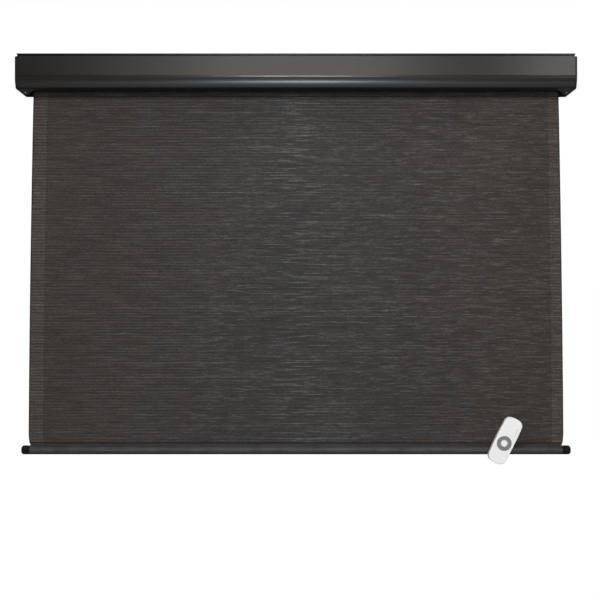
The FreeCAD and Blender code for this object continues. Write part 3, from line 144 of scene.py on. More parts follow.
class Signal:
    """A value in a material. Arithmetic on signals adds Math nodes to its tree."""

    def __init__(self, paint, socket):
        self.paint = paint
        self.socket = socket

    def __add__(self, other):
        return self.paint.math("ADD", self, other)

    def __sub__(self, other):
        return self.paint.math("SUBTRACT", self, other)

    def __mul__(self, other):
        return self.paint.math("MULTIPLY", self, other)

    def __truediv__(self, other):
        return self.paint.math("DIVIDE", self, other)

    def __radd__(self, other):
        return self.paint.math("ADD", other, self)

    def __rsub__(self, other):
        return self.paint.math("SUBTRACT", other, self)

    def __rmul__(self, other):
        return self.paint.math("MULTIPLY", other, self)

    def __rtruediv__(self, other):
        return self.paint.math("DIVIDE", other, self)

    def __gt__(self, other):
        return self.paint.math("GREATER_THAN", self, other)

    def __lt__(self, other):
        return self.paint.math("LESS_THAN", self, other)

    def __abs__(self):
        return self.paint.math("ABSOLUTE", self)


class Paint:
    """One material, made round its Principled shader."""

    def __init__(self, name, **shader):
        self.material = bpy.data.materials.new(PREFIX + name)
        self.material.use_nodes = True
        self.tree = self.material.node_tree
        self.shader = self.tree.nodes["Principled BSDF"]
        for socket, value in shader.items():
            self.set(socket.replace("_", " "), value)

    def set(self, socket, value):
        self.feed(self.shader.inputs[socket], value)

    def feed(self, socket, value):
        """Links a signal to a socket or sets a plain value, colours with their alpha."""
        if isinstance(value, Signal):
            self.tree.links.new(value.socket, socket)
        elif hasattr(value, "__len__") and len(socket.default_value) == 4 and len(value) == 3:
            socket.default_value = (*value, 1)
        else:
            socket.default_value = value

    def node(self, kind, settings=None, inputs=None, output=0):
        """Adds a node: its settings come first, then the values or links of its sockets."""
        made = self.tree.nodes.new("ShaderNode" + kind)
        for name, value in (settings or {}).items():
            if name == "stops":
                self.set_stops(made.color_ramp, value)
            else:
                setattr(made, name, value)
        for socket, value in (inputs or {}).items():
            self.feed(made.inputs[socket], value)
        return Signal(self, made.outputs[output])

    @staticmethod
    def set_stops(ramp, stops):
        while len(ramp.elements) < len(stops):
            ramp.elements.new(1)
        for element, (place, value) in zip(ramp.elements, stops):
            element.position = place
            element.color = (value, value, value, 1)

    def math(self, operation, *values):
        return self.node("Math", {"operation": operation}, dict(enumerate(values)))

    def ramp(self, signal, *stops):
        """A signal led through stops, each a place and the level there."""
        return self.node("ValToRGB", {"stops": stops}, {"Fac": signal})

    def mix(self, factor, first, second):
        """A colour between two others."""
        settings = {"data_type": "RGBA"}
        return self.node("Mix", settings, {0: factor, 6: first, 7: second}, output=2)

    def place(self, scale=(1, 1, 1), centre=(0, 0, 0), lean=0.0):
        """Object coordinates about a centre, turned back by a lean, then scaled."""
        spot = self.node("TexCoord", output=3)
        if lean or any(centre):
            spot = self.node("VectorMath", {"operation": "SUBTRACT"}, {0: spot, 1: centre})
            turn = {"rotation_type": "Y_AXIS"}
            spot = self.node("VectorRotate", turn, {"Vector": spot, "Angle": -lean})
        return self.node("VectorMath", {"operation": "MULTIPLY"}, {0: spot, 1: scale})

    def along_cloth(self, scale=(1, 1, 1)):
        """The cloth's own flat coordinates in metres."""
        spot = self.node("UVMap", {"uv_map": "cloth"})
        return self.node("VectorMath", {"operation": "MULTIPLY"}, {0: spot, 1: scale})

    def parts(self, vector):
        """The X, Y and Z of a vector."""
        split = self.node("SeparateXYZ", inputs={0: vector})
        outputs = split.socket.node.outputs
        return [Signal(self, outputs[index]) for index in range(3)]

    def noise(self, vector, scale=1.0, detail=2.0, rough=0.5):
        inputs = {"Vector": vector, "Scale": scale, "Detail": detail, "Roughness": rough}
        return self.node("TexNoise", inputs=inputs)

    def bump(self, height, depth, strength=1.0):
        inputs = {"Height": height, "Distance": depth, "Strength": strength}
        self.set("Normal", self.node("Bump", inputs=inputs))


def lighter(colour, factor):
    """A plain colour made lighter or darker by a factor."""
    return tuple(min(1.0, part * factor) for part in colour)


def powder_coat():
    """Satin powder coat with fine orange peel, a trace of metal fleck and soft cloudiness. The
    fascia's underside gets painted shade, which makes it darker, and is made duller."""
    colour = bpy.context.scene.shade_colours.coat
    paint = Paint("bronze_coat", Specular_IOR_Level=0.5, IOR=1.5)
    cloud = paint.noise(paint.place((3, 3, 9)), detail=3.0)
    fleck = paint.noise(paint.place(), scale=2600.0, detail=1.0)
    fleck = paint.ramp(fleck, (0.62, 0), (0.78, 1))
    tone = paint.mix(cloud, lighter(colour, 0.88), lighter(colour, 1.16))
    tone = paint.mix(fleck * 0.3, tone, lighter(colour, 3.2))
    _, _, height = paint.parts(paint.place())
    # painted shade: the fascia's underside is darkened, and its roughness is raised
    underside_shade = paint.ramp((height - FASCIA_FOOT) / (3 * MM), (0.3, 1), (1.0, 0))
    paint.set("Base Color", paint.mix(underside_shade, tone, lighter(colour, 0.2)))
    paint.set("Roughness", 0.22 + cloud * 0.06 + fleck * 0.08 + underside_shade * 0.4)
    paint.bump(paint.noise(paint.place(), scale=900.0), depth=0.05 * MM, strength=0.35)
    return paint.material


def fine_texture(name, colour, roughness, grain=1500.0, depth=0.05 * MM, spread=1.3, gloss=0.5):
    """Moulded plastic or coated sheet with a fine matte grain."""
    paint = Paint(name, Specular_IOR_Level=gloss)
    cloud = paint.noise(paint.place(), scale=14.0, detail=4.0)
    grains = paint.noise(paint.place(), scale=grain)
    paint.set("Base Color", paint.mix(cloud, lighter(colour, 1 / spread), lighter(colour, spread)))
    paint.set("Roughness", roughness - 0.06 + grains * 0.14)
    paint.bump(grains, depth, strength=0.6)
    return paint.material


def metal(name, colour, roughness, grain):
    """Metal with drawn lines; grain is how they are stretched in X, Y and Z."""
    paint = Paint(name, Metallic=1.0)
    lines = paint.noise(paint.place(grain), detail=3.0)
    stain = paint.noise(paint.place(), scale=25.0, detail=3.0)
    paint.set("Base Color", paint.mix(stain, lighter(colour, 0.8), lighter(colour, 1.1)))
    paint.set("Roughness", roughness + lines * 0.16 + stain * 0.06)
    paint.bump(lines, depth=0.01 * MM, strength=0.5)
    return paint.material


def woven_tone(paint, across, along, lift):
    """The cloth's thick ribs, broken into bright dashes in places, and its height for a bump."""
    colours, cloth = bpy.context.scene.shade_colours, bpy.context.scene.shade_cloth
    inward = paint.math("MINIMUM", abs(across) / PANEL_HIGH.x, 1.0)
    rib = paint.math("COSINE", along * (math.tau / cloth.rib))
    dashes = cloth_rows(paint, across, along, fineness=11.0, detail=4.0)
    ticks = cloth_rows(paint, across, along, fineness=130.0, detail=1.0)
    picks = cloth_rows(paint, across, along, fineness=17.0, detail=1.0)
    picks = paint.ramp(picks, (0.56, 0), (0.62, 1))
    patch = paint.noise(paint.along_cloth((2.2, 1.6, 1)))
    zone = paint.noise(paint.along_cloth((1.7, 0.6, 1)), detail=1.0)
    zone = paint.ramp(zone, (0.44, 0), (0.56, 1))
    # a middle level that each pattern sways by its own share
    level = 0.47 + (dashes - 0.5) * 1.15 + (ticks - 0.5) * 0.62 + (patch - 0.5) * 0.3
    level = level + rib * (1 - inward * 0.5) * (0.19 - zone * 0.12) + picks * (0.07 + zone * 0.2)
    level = paint.math("MAXIMUM", level + lift * (1 + rib * 0.5), 0.0)
    hue = paint.noise(paint.along_cloth((9, 30, 1)), detail=3.0)
    # the hue varies at random, and is pushed cool towards the middle as painted cool light
    warmth_and_painted_cool_light = paint.ramp(hue * 0.4 + inward * 0.22, (0.12, 0), (0.48, 1))
    warm = (colours.cloth[0] * 0.953, colours.cloth[1] * 0.87, colours.cloth[2] * 0.79)
    cool = (colours.cloth[0] * 1.05, colours.cloth[1] * 1.13, colours.cloth[2] * 1.19)
    yarn = paint.mix(warmth_and_painted_cool_light, cool, warm)
    tone = paint.mix(level * level * 0.5, scaled(paint, yarn, 0.52), scaled(paint, yarn, 3.22))
    return tone, level


def shade_cloth():
    """Close woven cloth with a folded hem at each side, darker outer edges, and painted shade
    along each hem's inner edge and above the seam at its foot.
    """
    colours, cloth = bpy.context.scene.shade_colours, bpy.context.scene.shade_cloth
    paint = Paint("screen_cloth", Specular_IOR_Level=0.2)
    across, along, _ = paint.parts(paint.along_cloth())
    weave = yarns(paint, along) * 0.6 + yarns(paint, across) * 0.4
    width = cloth.right_hem + (across < 0) * (cloth.left_hem - cloth.right_hem)
    inside = (PANEL_HIGH.x - abs(across)) / width
    tone, level = woven_tone(paint, across, along, lift=(inside < 1) * 0.19)
    # painted shade along the inner edge of each hem
    hem_edge_shade = paint.ramp(abs(inside - 1.04), (0.0, 1), (0.09, 0))
    edge = paint.ramp(inside, (0.05, 1), (0.09, 0))
    above_seam = (along - PANEL_LOW.z) / (20 * MM)
    # painted shade where the seam draws the cloth in at its foot
    seam = paint.ramp(above_seam, (0.02, 0.3), (0.1, 0.75), (0.24, 0.75), (0.34, 0.0))
    # the painted shade lines, together with the darker outer edges
    painted_shade = paint.math("MAXIMUM", hem_edge_shade * 0.14, edge * 0.85)
    painted_shade = paint.math("MAXIMUM", painted_shade, seam)
    tone = paint.mix(painted_shade, tone, lighter(colours.cloth, 0.12))
    paint.set("Base Color", paint.mix(weave * 0.2, tone, lighter(colours.cloth, 0.6)))
    paint.set("Roughness", 0.8 + weave * 0.12)
    paint.bump(weave + level * 1.2, depth=0.22 * MM, strength=0.8)
    return paint.material


def yarns(paint, spot):
    """The rise and fall from yarn to yarn, between 0 and 1."""
    pitch = bpy.context.scene.shade_cloth.yarn
    return paint.math("SINE", spot * (math.tau / pitch)) * 0.5 + 0.5


def cloth_rows(paint, across, along, fineness, detail):
    """Noise that is stretched along each yarn and starts anew at the next yarn."""
    rows_per_rib, skip = 3, (7.31, 3.17)
    row = paint.math("FLOOR", along * (rows_per_rib / bpy.context.scene.shade_cloth.rib) + 0.25)
    spot = {0: across * fineness, 1: row * skip[0], 2: row * skip[1]}
    return paint.noise(paint.node("CombineXYZ", inputs=spot), detail=detail, rough=0.6)


def scaled(paint, signal, factor):
    """A colour signal made lighter or darker by a factor."""
    return paint.node("VectorMath", {"operation": "SCALE"}, {0: signal, "Scale": factor})


def tight_cloth():
    """The same cloth drawn tight round the bar: smoother, with a soft gleam and faint ribs."""
    colour = bpy.context.scene.shade_colours.hem
    paint = Paint("hem_cloth", Specular_IOR_Level=0.45)
    across, along, _ = paint.parts(paint.along_cloth())
    dashes = cloth_rows(paint, across, along, fineness=9.0, detail=3.0)
    patch = paint.noise(paint.along_cloth((22, 5, 1)), detail=3.0)
    wear = paint.noise(paint.along_cloth((14, 60, 1)), detail=3.0)
    weft = yarns(paint, along)
    _, _, height = paint.parts(paint.place())
    below_seam = (PANEL_LOW.z - height) / (PANEL_LOW.z - POCKET_LOW.z)
    at_seam = (0, 0.5), (0.1, 0.55), (0.2, 0.45), (0.3, 0.3), (0.38, 0)
    at_foot = (0.64, 0), (0.78, 0.6), (0.9, 0.95)
    shaded = paint.ramp(below_seam, *at_seam, *at_foot)
    mottle = paint.ramp(dashes * 0.6 + patch * 0.4, (0.3, 0), (0.7, 1))
    tone = paint.mix(mottle, lighter(colour, 0.4), lighter(colour, 1.6))
    tone = paint.mix(shaded, tone, lighter(colour, 0.15))
    paint.set("Base Color", paint.mix(weft * 0.2, tone, lighter(colour, 0.6)))
    paint.set("Roughness", 0.36 + wear * 0.3)
    paint.bump(weft + dashes, depth=0.15 * MM, strength=0.6)
    return paint.material


def sewing_thread():
    """Dark thread with the light on its twist."""
    paint = Paint("sewing_thread", Roughness=0.6, Sheen_Weight=0.2)
    twist = paint.noise(paint.place((600, 600, 2400)), detail=1.0)
    paint.set("Base Color", paint.mix(twist, (0.018, 0.016, 0.015), (0.06, 0.056, 0.054)))
    paint.bump(twist, depth=0.1 * MM, strength=0.6)
    return paint.material


def ring_paint():
    """Satin ring whose turned grooves hold shadow, darker towards the rim."""
    colour = bpy.context.scene.shade_colours.ring
    paint = Paint("ring_grey", Metallic=0.25)
    x, _, z = paint.parts(paint.place(centre=RING_CENTRE, lean=REMOTE_LEAN))
    reach = paint.math("SQRT", x * x + z * z) / MM
    groove = paint.math("PINGPONG", (reach - GROOVE_START) / GROOVE_PITCH, 0.5) * 2
    grooved = (reach > GROOVE_START - 0.5) * (reach < GROOVE_END)
    # painted shadow in the turned grooves
    painted_shade = paint.ramp(groove, (0.3, 1), (0.62, 0)) * grooved
    rim = paint.ramp(reach / RING_RIM, (0.88, 0), (1.0, 1))
    grey = paint.mix(rim * 0.2, colour, lighter(colour, 0.35))
    paint.set("Base Color", paint.mix(painted_shade, grey, (0.06, 0.065, 0.065)))
    grain = paint.noise(paint.place(), scale=1800.0)
    paint.set("Roughness", 0.32 + grain * 0.12)
    paint.bump(1 - painted_shade + grain * 0.1, depth=0.2 * MM, strength=0.5)
    return paint.material


def circuit_board():
    """Green solder mask over pale tracks that run in steps."""
    paint = Paint("board_green", Roughness=0.35)
    cells = paint.place((260, 260, 260), RING_CENTRE, REMOTE_LEAN)
    maze = paint.node("TexVoronoi", {"feature": "F1", "distance": "CHEBYCHEV"}, {"Vector": cells})
    track = paint.ramp(maze, (0.3, 0), (0.36, 1))
    paint.set("Base Color", paint.mix(track, (0.01, 0.09, 0.035), (0.03, 0.2, 0.09)))
    paint.bump(track, depth=0.03 * MM, strength=0.5)
    return paint.material


def smoked_window():
    """Light windows, smoked in the middle and printed over in the case's colour at both ends."""
    paint = Paint("light_window", Roughness=0.3, Coat_Weight=0.2, Coat_Roughness=0.08)
    haze = paint.noise(paint.place(), scale=500.0)
    smoked = paint.mix(haze, (0.02, 0.02, 0.021), (0.05, 0.05, 0.052))
    low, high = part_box("remote_status_lights")
    across, _, _ = paint.parts(paint.place(centre=(low + high) / 2, lean=REMOTE_LEAN))
    printed = paint.ramp(abs(across) / (2 * MM), (0.5, 0), (0.65, 1))
    paint.set("Base Color", paint.mix(printed, smoked, bpy.context.scene.shade_colours.case))
    return paint.material


def rubber_mat():
    """Grey rubber with a dusty, pebbled face."""
    paint = Paint("mat_rubber", Roughness=0.75)
    dust = paint.noise(paint.place(), scale=120.0, detail=4.0)
    paint.set("Base Color", paint.mix(dust, (0.24, 0.24, 0.24), (0.36, 0.36, 0.35)))
    pebbles = paint.noise(paint.place(), scale=2200.0, detail=1.0)
    paint.bump(pebbles, depth=0.03 * MM, strength=0.5)
    return paint.material


def all_materials():
    """A finish for each material slot, and for the end caps, the hem's cloth and the thread."""
    colours = bpy.context.scene.shade_colours
    long_grain, fine_grain = (4, 2200, 2200), (900, 900, 900)
    finishes = [
        powder_coat(),
        fine_texture("black_moulding", colours.moulding, 0.5, gloss=0.25),
        fine_texture("end_moulding", lighter(colours.moulding, 1.7), 0.42, grain=700.0, gloss=0.32),
        fine_texture("black_steel", (0.014, 0.014, 0.015), 0.45, grain=900.0),
        metal("bright_screw", (0.62, 0.62, 0.6), 0.22, fine_grain),
        metal("mill_aluminium", (0.75, 0.76, 0.77), 0.24, long_grain),
        shade_cloth(),
        tight_cloth(),
        fine_texture("spline_rod", (0.28, 0.28, 0.28), 0.5, grain=700.0),
        fine_texture("pale_nylon", (0.58, 0.56, 0.5), 0.45, grain=800.0, spread=1.08),
        fine_texture("grey_nylon", (0.17, 0.17, 0.18), 0.5, grain=900.0, spread=1.15),
        metal("motor_coat", (0.5, 0.51, 0.52), 0.3, long_grain),
        metal("spring_wire", (0.33, 0.33, 0.34), 0.28, fine_grain),
        fine_texture("inlet_black", (0.01, 0.01, 0.01), 0.5),
        fine_texture("orange_button", (0.6, 0.15, 0.02), 0.4, spread=1.1),
        fine_texture("white_case", colours.case, 0.34, 1800.0, 0.01 * MM, spread=1.012),
        ring_paint(),
        smoked_window(),
        circuit_board(),
        rubber_mat(),
        metal("cell_steel", (0.6, 0.6, 0.6), 0.2, fine_grain),
        metal("contact_metal", (0.7, 0.62, 0.42), 0.25, fine_grain),
        sewing_thread(),
    ]
    return {finish.name.removeprefix(PREFIX): finish for finish in finishes}


FINISHES = {}


def material(slot):
    """The finish of a slot, made with the others the first time one is asked for."""
    if not FINISHES:
        FINISHES.update(all_materials())
    return FINISHES[slot]


def dress_nodes(*nodes, finish=None):
    """Gives built nodes a finish, that of their own slot if none is named."""
    for node in nodes:
        built = frame["nodes"][node]
        built.data.materials.clear()
        built.data.materials.append(material(finish or SLOTS[node]))


def add_object(name, data):
    """A new object in the scene."""
    made = bpy.data.objects.new(name, data)
    bpy.context.scene.collection.objects.link(made)
    return made


def select_only(piece):
    """Selects one piece and makes it the active one."""
    bpy.ops.object.select_all(action="DESELECT")
    piece.select_set(True)
    bpy.context.view_layer.objects.active = piece


def bake_place(piece):
    """Brings a piece's place, turn and scale into its mesh."""
    select_only(piece)
    bpy.ops.object.transform_apply(location=True, rotation=True, scale=True)


def add_rod(radius, length, middle, sides):
    """An upright cylinder."""
    bpy.ops.mesh.primitive_cylinder_add(
        vertices=sides, radius=radius, depth=length, location=middle
    )
    return bpy.context.active_object


def add_block(size, middle, turn=0.0):
    """A box, turned about the upright axis."""
    bpy.ops.mesh.primitive_cube_add(size=1, location=middle, rotation=(0, 0, turn))
    block = bpy.context.active_object
    block.scale = size
    bake_place(block)
    return block


def join(pieces):
    """Joins pieces into the first of them."""
    select_only(pieces[0])
    for piece in pieces[1:]:
        piece.select_set(True)
    bpy.ops.object.join()
    return pieces[0]


def modify(piece, kind, **settings):
    """Adds a modifier and applies it."""
    select_only(piece)
    modifier = piece.modifiers.new(kind, kind)
    for name, value in settings.items():
        setattr(modifier, name, value)
    bpy.ops.object.modifier_apply(modifier=modifier.name)


def pick(piece, choose, kind="faces"):
    """In edit mode, selects the faces, edges or points that pass a test."""
    bpy.ops.object.mode_set(mode="EDIT")
    bpy.ops.mesh.select_mode(type=kind[:-1].upper())
    bpy.ops.mesh.select_all(action="DESELECT")
    mesh = bmesh.from_edit_mesh(piece.data)
    for element in getattr(mesh, kind):
        if choose(element):
            element.select = True
    mesh.select_flush_mode()
    bmesh.update_edit_mesh(piece.data)


def pick_edges(piece, test):
    """In edit mode, selects the edges of which both ends are where a test allows."""
    pick(piece, lambda edge: all(test(vertex.co) for vertex in edge.verts), "edges")


def extrude(x=0.0, y=0.0, z=0.0):
    """In edit mode, extrudes what is selected."""
    bpy.ops.mesh.extrude_region_move(TRANSFORM_OT_translate={"value": (x, y, z)})


def leave_edit():
    bpy.ops.object.mode_set(mode="OBJECT")


def settle(piece, name, body, slot, angle=35.0):
    """Names a finished piece, brings its place into its mesh and hands it to its body."""
    bake_place(piece)
    piece.name = name
    piece.data.name = name
    piece.data.materials.clear()
    piece.data.materials.append(material(slot))
    bpy.ops.object.shade_smooth_by_angle(angle=math.radians(angle))
    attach(piece, body)
    return piece


def map_cloth(piece, along, spread=1.0):
    """Gives a piece of cloth its flat coordinates: across the width, and along the drop."""
    layer = piece.data.uv_layers.get("cloth") or piece.data.uv_layers.new(name="cloth")
    for loop in piece.data.loops:
        spot = piece.data.vertices[loop.vertex_index].co
        layer.data[loop.index].uv = (spot.x * spread, along(spot))


def ribbon(points, low_x, high_x, name):
    """A sheet that follows points in the Y and Z plane, from low_x to high_x."""
    curve = bpy.data.curves.new(name, "CURVE")
    curve.dimensions = "3D"
    spline = curve.splines.new("POLY")
    spline.points.add(len(points) - 1)
    for point, (y, z) in zip(spline.points, points):
        point.co = (low_x, y, z, 1)
    piece = add_object(name, curve)
    select_only(piece)
    bpy.ops.object.convert(target="MESH")
    pick(piece, lambda edge: True, "edges")
    extrude(x=high_x - low_x)
    leave_edit()
    return piece


def squash_with_cloth(piece):
    """Gives a hanging piece its own copy of its mesh."""
    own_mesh(piece)


def hanging_cloth():
    """The sheet with both sides folded back, swaying slightly between roller and hem bar."""
    cloth = bpy.context.scene.shade_cloth
    width = PANEL_HIGH.x - PANEL_LOW.x - cloth.narrow * 2
    half, fold = width / 2, cloth.wall * 1.1
    y = PANEL_LOW.y + cloth.wall / 2
    bpy.ops.mesh.primitive_grid_add(
        x_subdivisions=round(width / cloth.cell),
        y_subdivisions=round(DROP / cloth.cell),
        size=1,
        location=(0, y, (PANEL_HIGH.z + PANEL_LOW.z) / 2),
        rotation=(math.pi / 2, 0, 0),
    )
    piece = bpy.context.active_object
    piece.scale = (width, DROP, 1)
    bake_place(piece)
    outer, front = half - cloth.wall / 4, y + cloth.wall / 8
    for side, hem in ((-1, cloth.left_hem), (1, cloth.right_hem)):
        pick_edges(piece, lambda spot: spot.x * side > outer and spot.y < front)
        extrude(y=fold)
        extrude(x=-side * hem)
        leave_edit()
    add_sway(piece)
    modify(piece, "SOLIDIFY", thickness=cloth.wall, offset=0, use_even_offset=True)
    map_cloth(piece, lambda spot: spot.z, 1 + cloth.narrow / half)
    add_flare(piece)
    settle(piece, "cloth_panel", "root", "screen_cloth")
    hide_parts("fabric_panel")
    squash_with_cloth(piece)
    return piece


def add_sway(piece):
    """Gentle upright waves that fade out at the hem, and at the roller leave room for the
    wound cloth, beside which the panel's upper part lies when it is drawn up."""
    fade, wave_size = 0.12 * DROP, (0.28, 1, 1.1)
    swing = bpy.context.scene.shade_cloth.sway * 2
    wound = ROLL_REAR - ROLLER_AXIS.y
    group = piece.vertex_groups.new(name="sway")
    for vertex in piece.data.vertices:
        beside = min(wound, (PANEL_HIGH.z - vertex.co.z) * (DROP - LIFT) / DROP)
        room = (wound - math.sqrt(wound**2 - beside**2)) / swing
        near = min((vertex.co.z - PANEL_LOW.z) / fade, room)
        group.add([vertex.index], max(0.0, min(1.0, near)), "REPLACE")
    guide = add_object("sway_guide", None)
    guide.scale = wave_size
    waves = bpy.data.textures.new("sway", "CLOUDS")
    waves.noise_scale = 1.0
    modify(
        piece,
        "DISPLACE",
        texture=waves,
        texture_coords="OBJECT",
        texture_coords_object=guide,
        direction="Y",
        mid_level=0.5,
        strength=swing * 2,
        vertex_group=group.name,
    )
    bpy.data.objects.remove(guide)


def spread_at(height):
    """How far each edge of the cloth has spread at a height, from its narrow top."""
    cloth = bpy.context.scene.shade_cloth
    seam_start, bow = 0.97, 0.727
    down = (PANEL_HIGH.z - height) / DROP
    drawn_in = max(0.0, (down - seam_start) / (1 - seam_start)) ** 2 * cloth.pinch
    return cloth.flare * down * (1 + bow - bow * down) - drawn_in


def add_flare(piece):
    """Spreads the cloth towards both edges on its way down, and draws it in at the seam."""
    cloth = bpy.context.scene.shade_cloth
    for side in (-1, 1):
        group = piece.vertex_groups.new(name="flare")
        for vertex in piece.data.vertices:
            share = max(0.0, min(1.0, side * vertex.co.x / PANEL_HIGH.x))
            group.add([vertex.index], share * spread_at(vertex.co.z) / cloth.flare, "REPLACE")
        direction = {"direction": "X", "mid_level": 0.0, "vertex_group": group.name}
        modify(piece, "DISPLACE", strength=side * cloth.flare, **direction)
        piece.vertex_groups.clear()


def stitch_row(start, count, axis):
    """A row of rounded stitches along X (axis 0) or Z (axis 2), one modelled and the rest an
    array of it."""
    cloth = bpy.context.scene.shade_cloth
    radius, length = cloth.thread / 2, cloth.stitch * 0.62
    piece = add_rod(radius, length, start, sides=8)
    if axis == 0:
        piece.rotation_euler.y = math.pi / 2
    bake_place(piece)
    pick(piece, lambda face: abs(face.normal[axis]) > ALIGNED)
    bpy.ops.mesh.inset(thickness=radius * 0.4, depth=radius * 0.35)
    leave_edit()
    offset = [0.0, 0.0, 0.0]
    offset[axis] = cloth.stitch
    modify(
        piece,
        "ARRAY",
        count=count,
        use_relative_offset=False,
        use_constant_offset=True,
        constant_offset_displace=offset,
    )
    return piece


def side_stitching():
    """Twin rows of stitches that hold each side hem down."""
    cloth = bpy.context.scene.shade_cloth
    margin, insets, sunk = 6 * MM, (0.88, 0.7), 0.1
    count = round((DROP - margin * 2) / cloth.stitch)
    rows = []
    for side, label, hem in ((-1, "left", cloth.left_hem), (1, "right", cloth.right_hem)):
        for row, inset in enumerate(insets, start=1):
            x = side * (PANEL_HIGH.x - cloth.narrow - hem * inset)
            start = (x, PANEL_LOW.y - cloth.thread * sunk, PANEL_LOW.z + margin)
            piece = stitch_row(start, count, axis=2)
            add_flare(piece)
            settle(piece, f"hem_stitches_{label}_{row}", "root", "sewing_thread", 60)
            squash_with_cloth(piece)
            rows.append(piece)
    return rows


def wound_cloth():
    """The cloth that stays on the tube, a spiral that ends in the groove on top. Its outer end
    meets the panel, and the rest keeps clear of the panel's stitches when that is drawn up."""
    cloth = bpy.context.scene.shade_cloth
    steps_per_turn, lead_steps, clear = 64, 12, 1.2 * MM
    outer = ROLL_REAR - ROLLER_AXIS.y - cloth.wall / 2 - clear
    inner = TUBE_TOP + SLACK + cloth.wall / 2
    steps = round(cloth.wrap_turns * steps_per_turn)
    points, lengths = [], [0.0]
    for step in range(steps + 1):
        angle = math.tau * step / steps_per_turn
        lead = max(0.0, 1 - step / lead_steps)
        radius = outer + (inner - outer) * step / steps + clear * lead**2
        points.append((ROLLER_AXIS.y + radius * math.cos(angle), radius * math.sin(angle)))
        if step:
            lengths.append(lengths[-1] + math.dist(points[-2], points[-1]))
    piece = ribbon(points, PANEL_LOW.x, PANEL_HIGH.x, "wound_cloth")
    modify(piece, "SOLIDIFY", thickness=cloth.wall, offset=0)

    def along(spot):
        place = (spot.y, spot.z)
        nearest = min(range(len(points)), key=lambda step: math.dist(place, points[step]))
        return lengths[nearest]

    map_cloth(piece, along)
    settle(piece, "wound_cloth", "roller", "screen_cloth", 60)
    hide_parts("fabric_roll")


def hem_loop():
    """The pocket round the hem bar: two tangents from the seam and the arc between them."""
    cloth = bpy.context.scene.shade_cloth
    arc_steps, half_seam = 48, cloth.wall * 0.55
    centre = (HEM_TUBE_LOW + HEM_TUBE_HIGH) / 2
    radius = (HEM_TUBE_HIGH.z - HEM_TUBE_LOW.z) / 2 + SLACK + cloth.wall / 2
    touch = math.acos(radius / (POCKET_HIGH.z - centre.z))
    sweep = math.tau - 2 * touch
    points = [(centre.y - half_seam, POCKET_HIGH.z)]
    for step in range(arc_steps + 1):
        angle = touch + sweep * step / arc_steps
        points.append((centre.y - radius * math.sin(angle), centre.z + radius * math.cos(angle)))
    points.append((centre.y + half_seam, POCKET_HIGH.z))
    length = sum(math.dist(a, b) for a, b in zip(points, points[1:]))
    piece = ribbon(points, POCKET_LOW.x, POCKET_HIGH.x, "hem_loop")
    modify(piece, "SOLIDIFY", thickness=cloth.wall, offset=0)

    def along(spot):
        angle = math.atan2(spot.y - centre.y, spot.z - centre.z)
        return PANEL_LOW.z - (math.pi - abs(angle)) * radius

    map_cloth(piece, along)
    settle(piece, "hem_loop", "hem_bar", "hem_cloth", 50)
    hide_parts("hem_pocket")
    seam_stitching()


def seam_stitching():
    """One row of stitches across the width, where the pocket closes."""
    cloth = bpy.context.scene.shade_cloth
    margin, below, sunk = 5 * MM, 1.2 * MM, 0.3
    width = POCKET_HIGH.x - POCKET_LOW.x - margin * 2
    front = PANEL_LOW.y - cloth.thread * sunk
    start = (POCKET_LOW.x + margin, front, POCKET_HIGH.z - below)
    piece = stitch_row(start, round(width / cloth.stitch), axis=0)
    settle(piece, "seam_stitches", "hem_bar", "sewing_thread", 60)
    return piece


def cross_screw(radius, height, shank, length):
    """A pan head screw with a cross recess, head up, its seat at height 0."""
    slot_size, slot_taper = (radius * 1.1, radius * 0.24, height * 0.9), (0.55, 0.8, 1)
    head = add_rod(radius, height, (0, 0, height / 2), sides=40)
    bake_place(head)
    pick_edges(head, lambda spot: spot.z > height * 0.9)
    bpy.ops.mesh.bevel(offset=height * 0.48, segments=4, profile=0.5)
    leave_edit()
    for turn in (0, math.pi / 2):
        slot = add_block(slot_size, (0, 0, height), turn)
        pick(slot, lambda face: face.normal.z < -ALIGNED)
        bpy.ops.transform.resize(value=slot_taper, center_override=(0, 0, height))
        leave_edit()
        modify(head, "BOOLEAN", object=slot, operation="DIFFERENCE", solver="EXACT")
        bpy.data.objects.remove(slot)
    stem = add_rod(shank, length, (0, 0, -length / 2), sides=24)
    bake_place(stem)
    pick(stem, lambda face: face.normal.z < -ALIGNED)
    bpy.ops.mesh.inset(thickness=shank * 0.45, depth=shank * 0.5)
    leave_edit()
    return join([head, stem])


def solid_boxes(node):
    """The box of each separate solid of a built node."""
    weld = 0.01 * MM
    mesh = bmesh.new()
    mesh.from_mesh(frame["nodes"][node].data)
    bmesh.ops.remove_doubles(mesh, verts=mesh.verts, dist=weld)
    left, boxes = set(mesh.verts), []
    while left:
        island, front = set(), [left.pop()]
        while front:
            vertex = front.pop()
            island.add(vertex)
            near = {link.other_vert(vertex) for link in vertex.link_edges} & left
            left -= near
            front.extend(near)
        spots = list(zip(*(vertex.co for vertex in island)))
        boxes.append((Vector([*map(min, spots)]), Vector([*map(max, spots)])))
    mesh.free()
    return boxes


def screws(node, name, out, sizes, mirrored=False):
    """Copies of one screw over each solid of a node. Out is the way the heads face, the other way
    at the left if mirrored. Sizes are the head's radius and height and the shank's radius."""
    radius, height, shank = sizes
    turn_step = 0.6
    out = Vector(out)
    model = None
    copies = []
    for low, high in sorted(solid_boxes(node), key=lambda box: tuple(box[0])):
        middle = (low + high) / 2
        reach = abs((high - low).dot(out)) / 2
        facing = out * (-1 if mirrored and middle.x < 0 else 1)
        seat = middle + facing * (reach - height)
        if model is None:
            model = cross_screw(radius, height, shank, reach * 2 - height - shank / 2)
        copy = add_object(name, model.data.copy())
        turn = Vector((0, 0, 1)).rotation_difference(facing).to_matrix().to_4x4()
        spin = Matrix.Rotation(turn_step * len(copies), 4, "Z")
        copy.matrix_world = Matrix.Translation(seat) @ turn @ spin
        copies.append(copy)
    bpy.data.objects.remove(model)
    piece = settle(join(copies), name, "root", "bright_screw", 30)
    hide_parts(node)


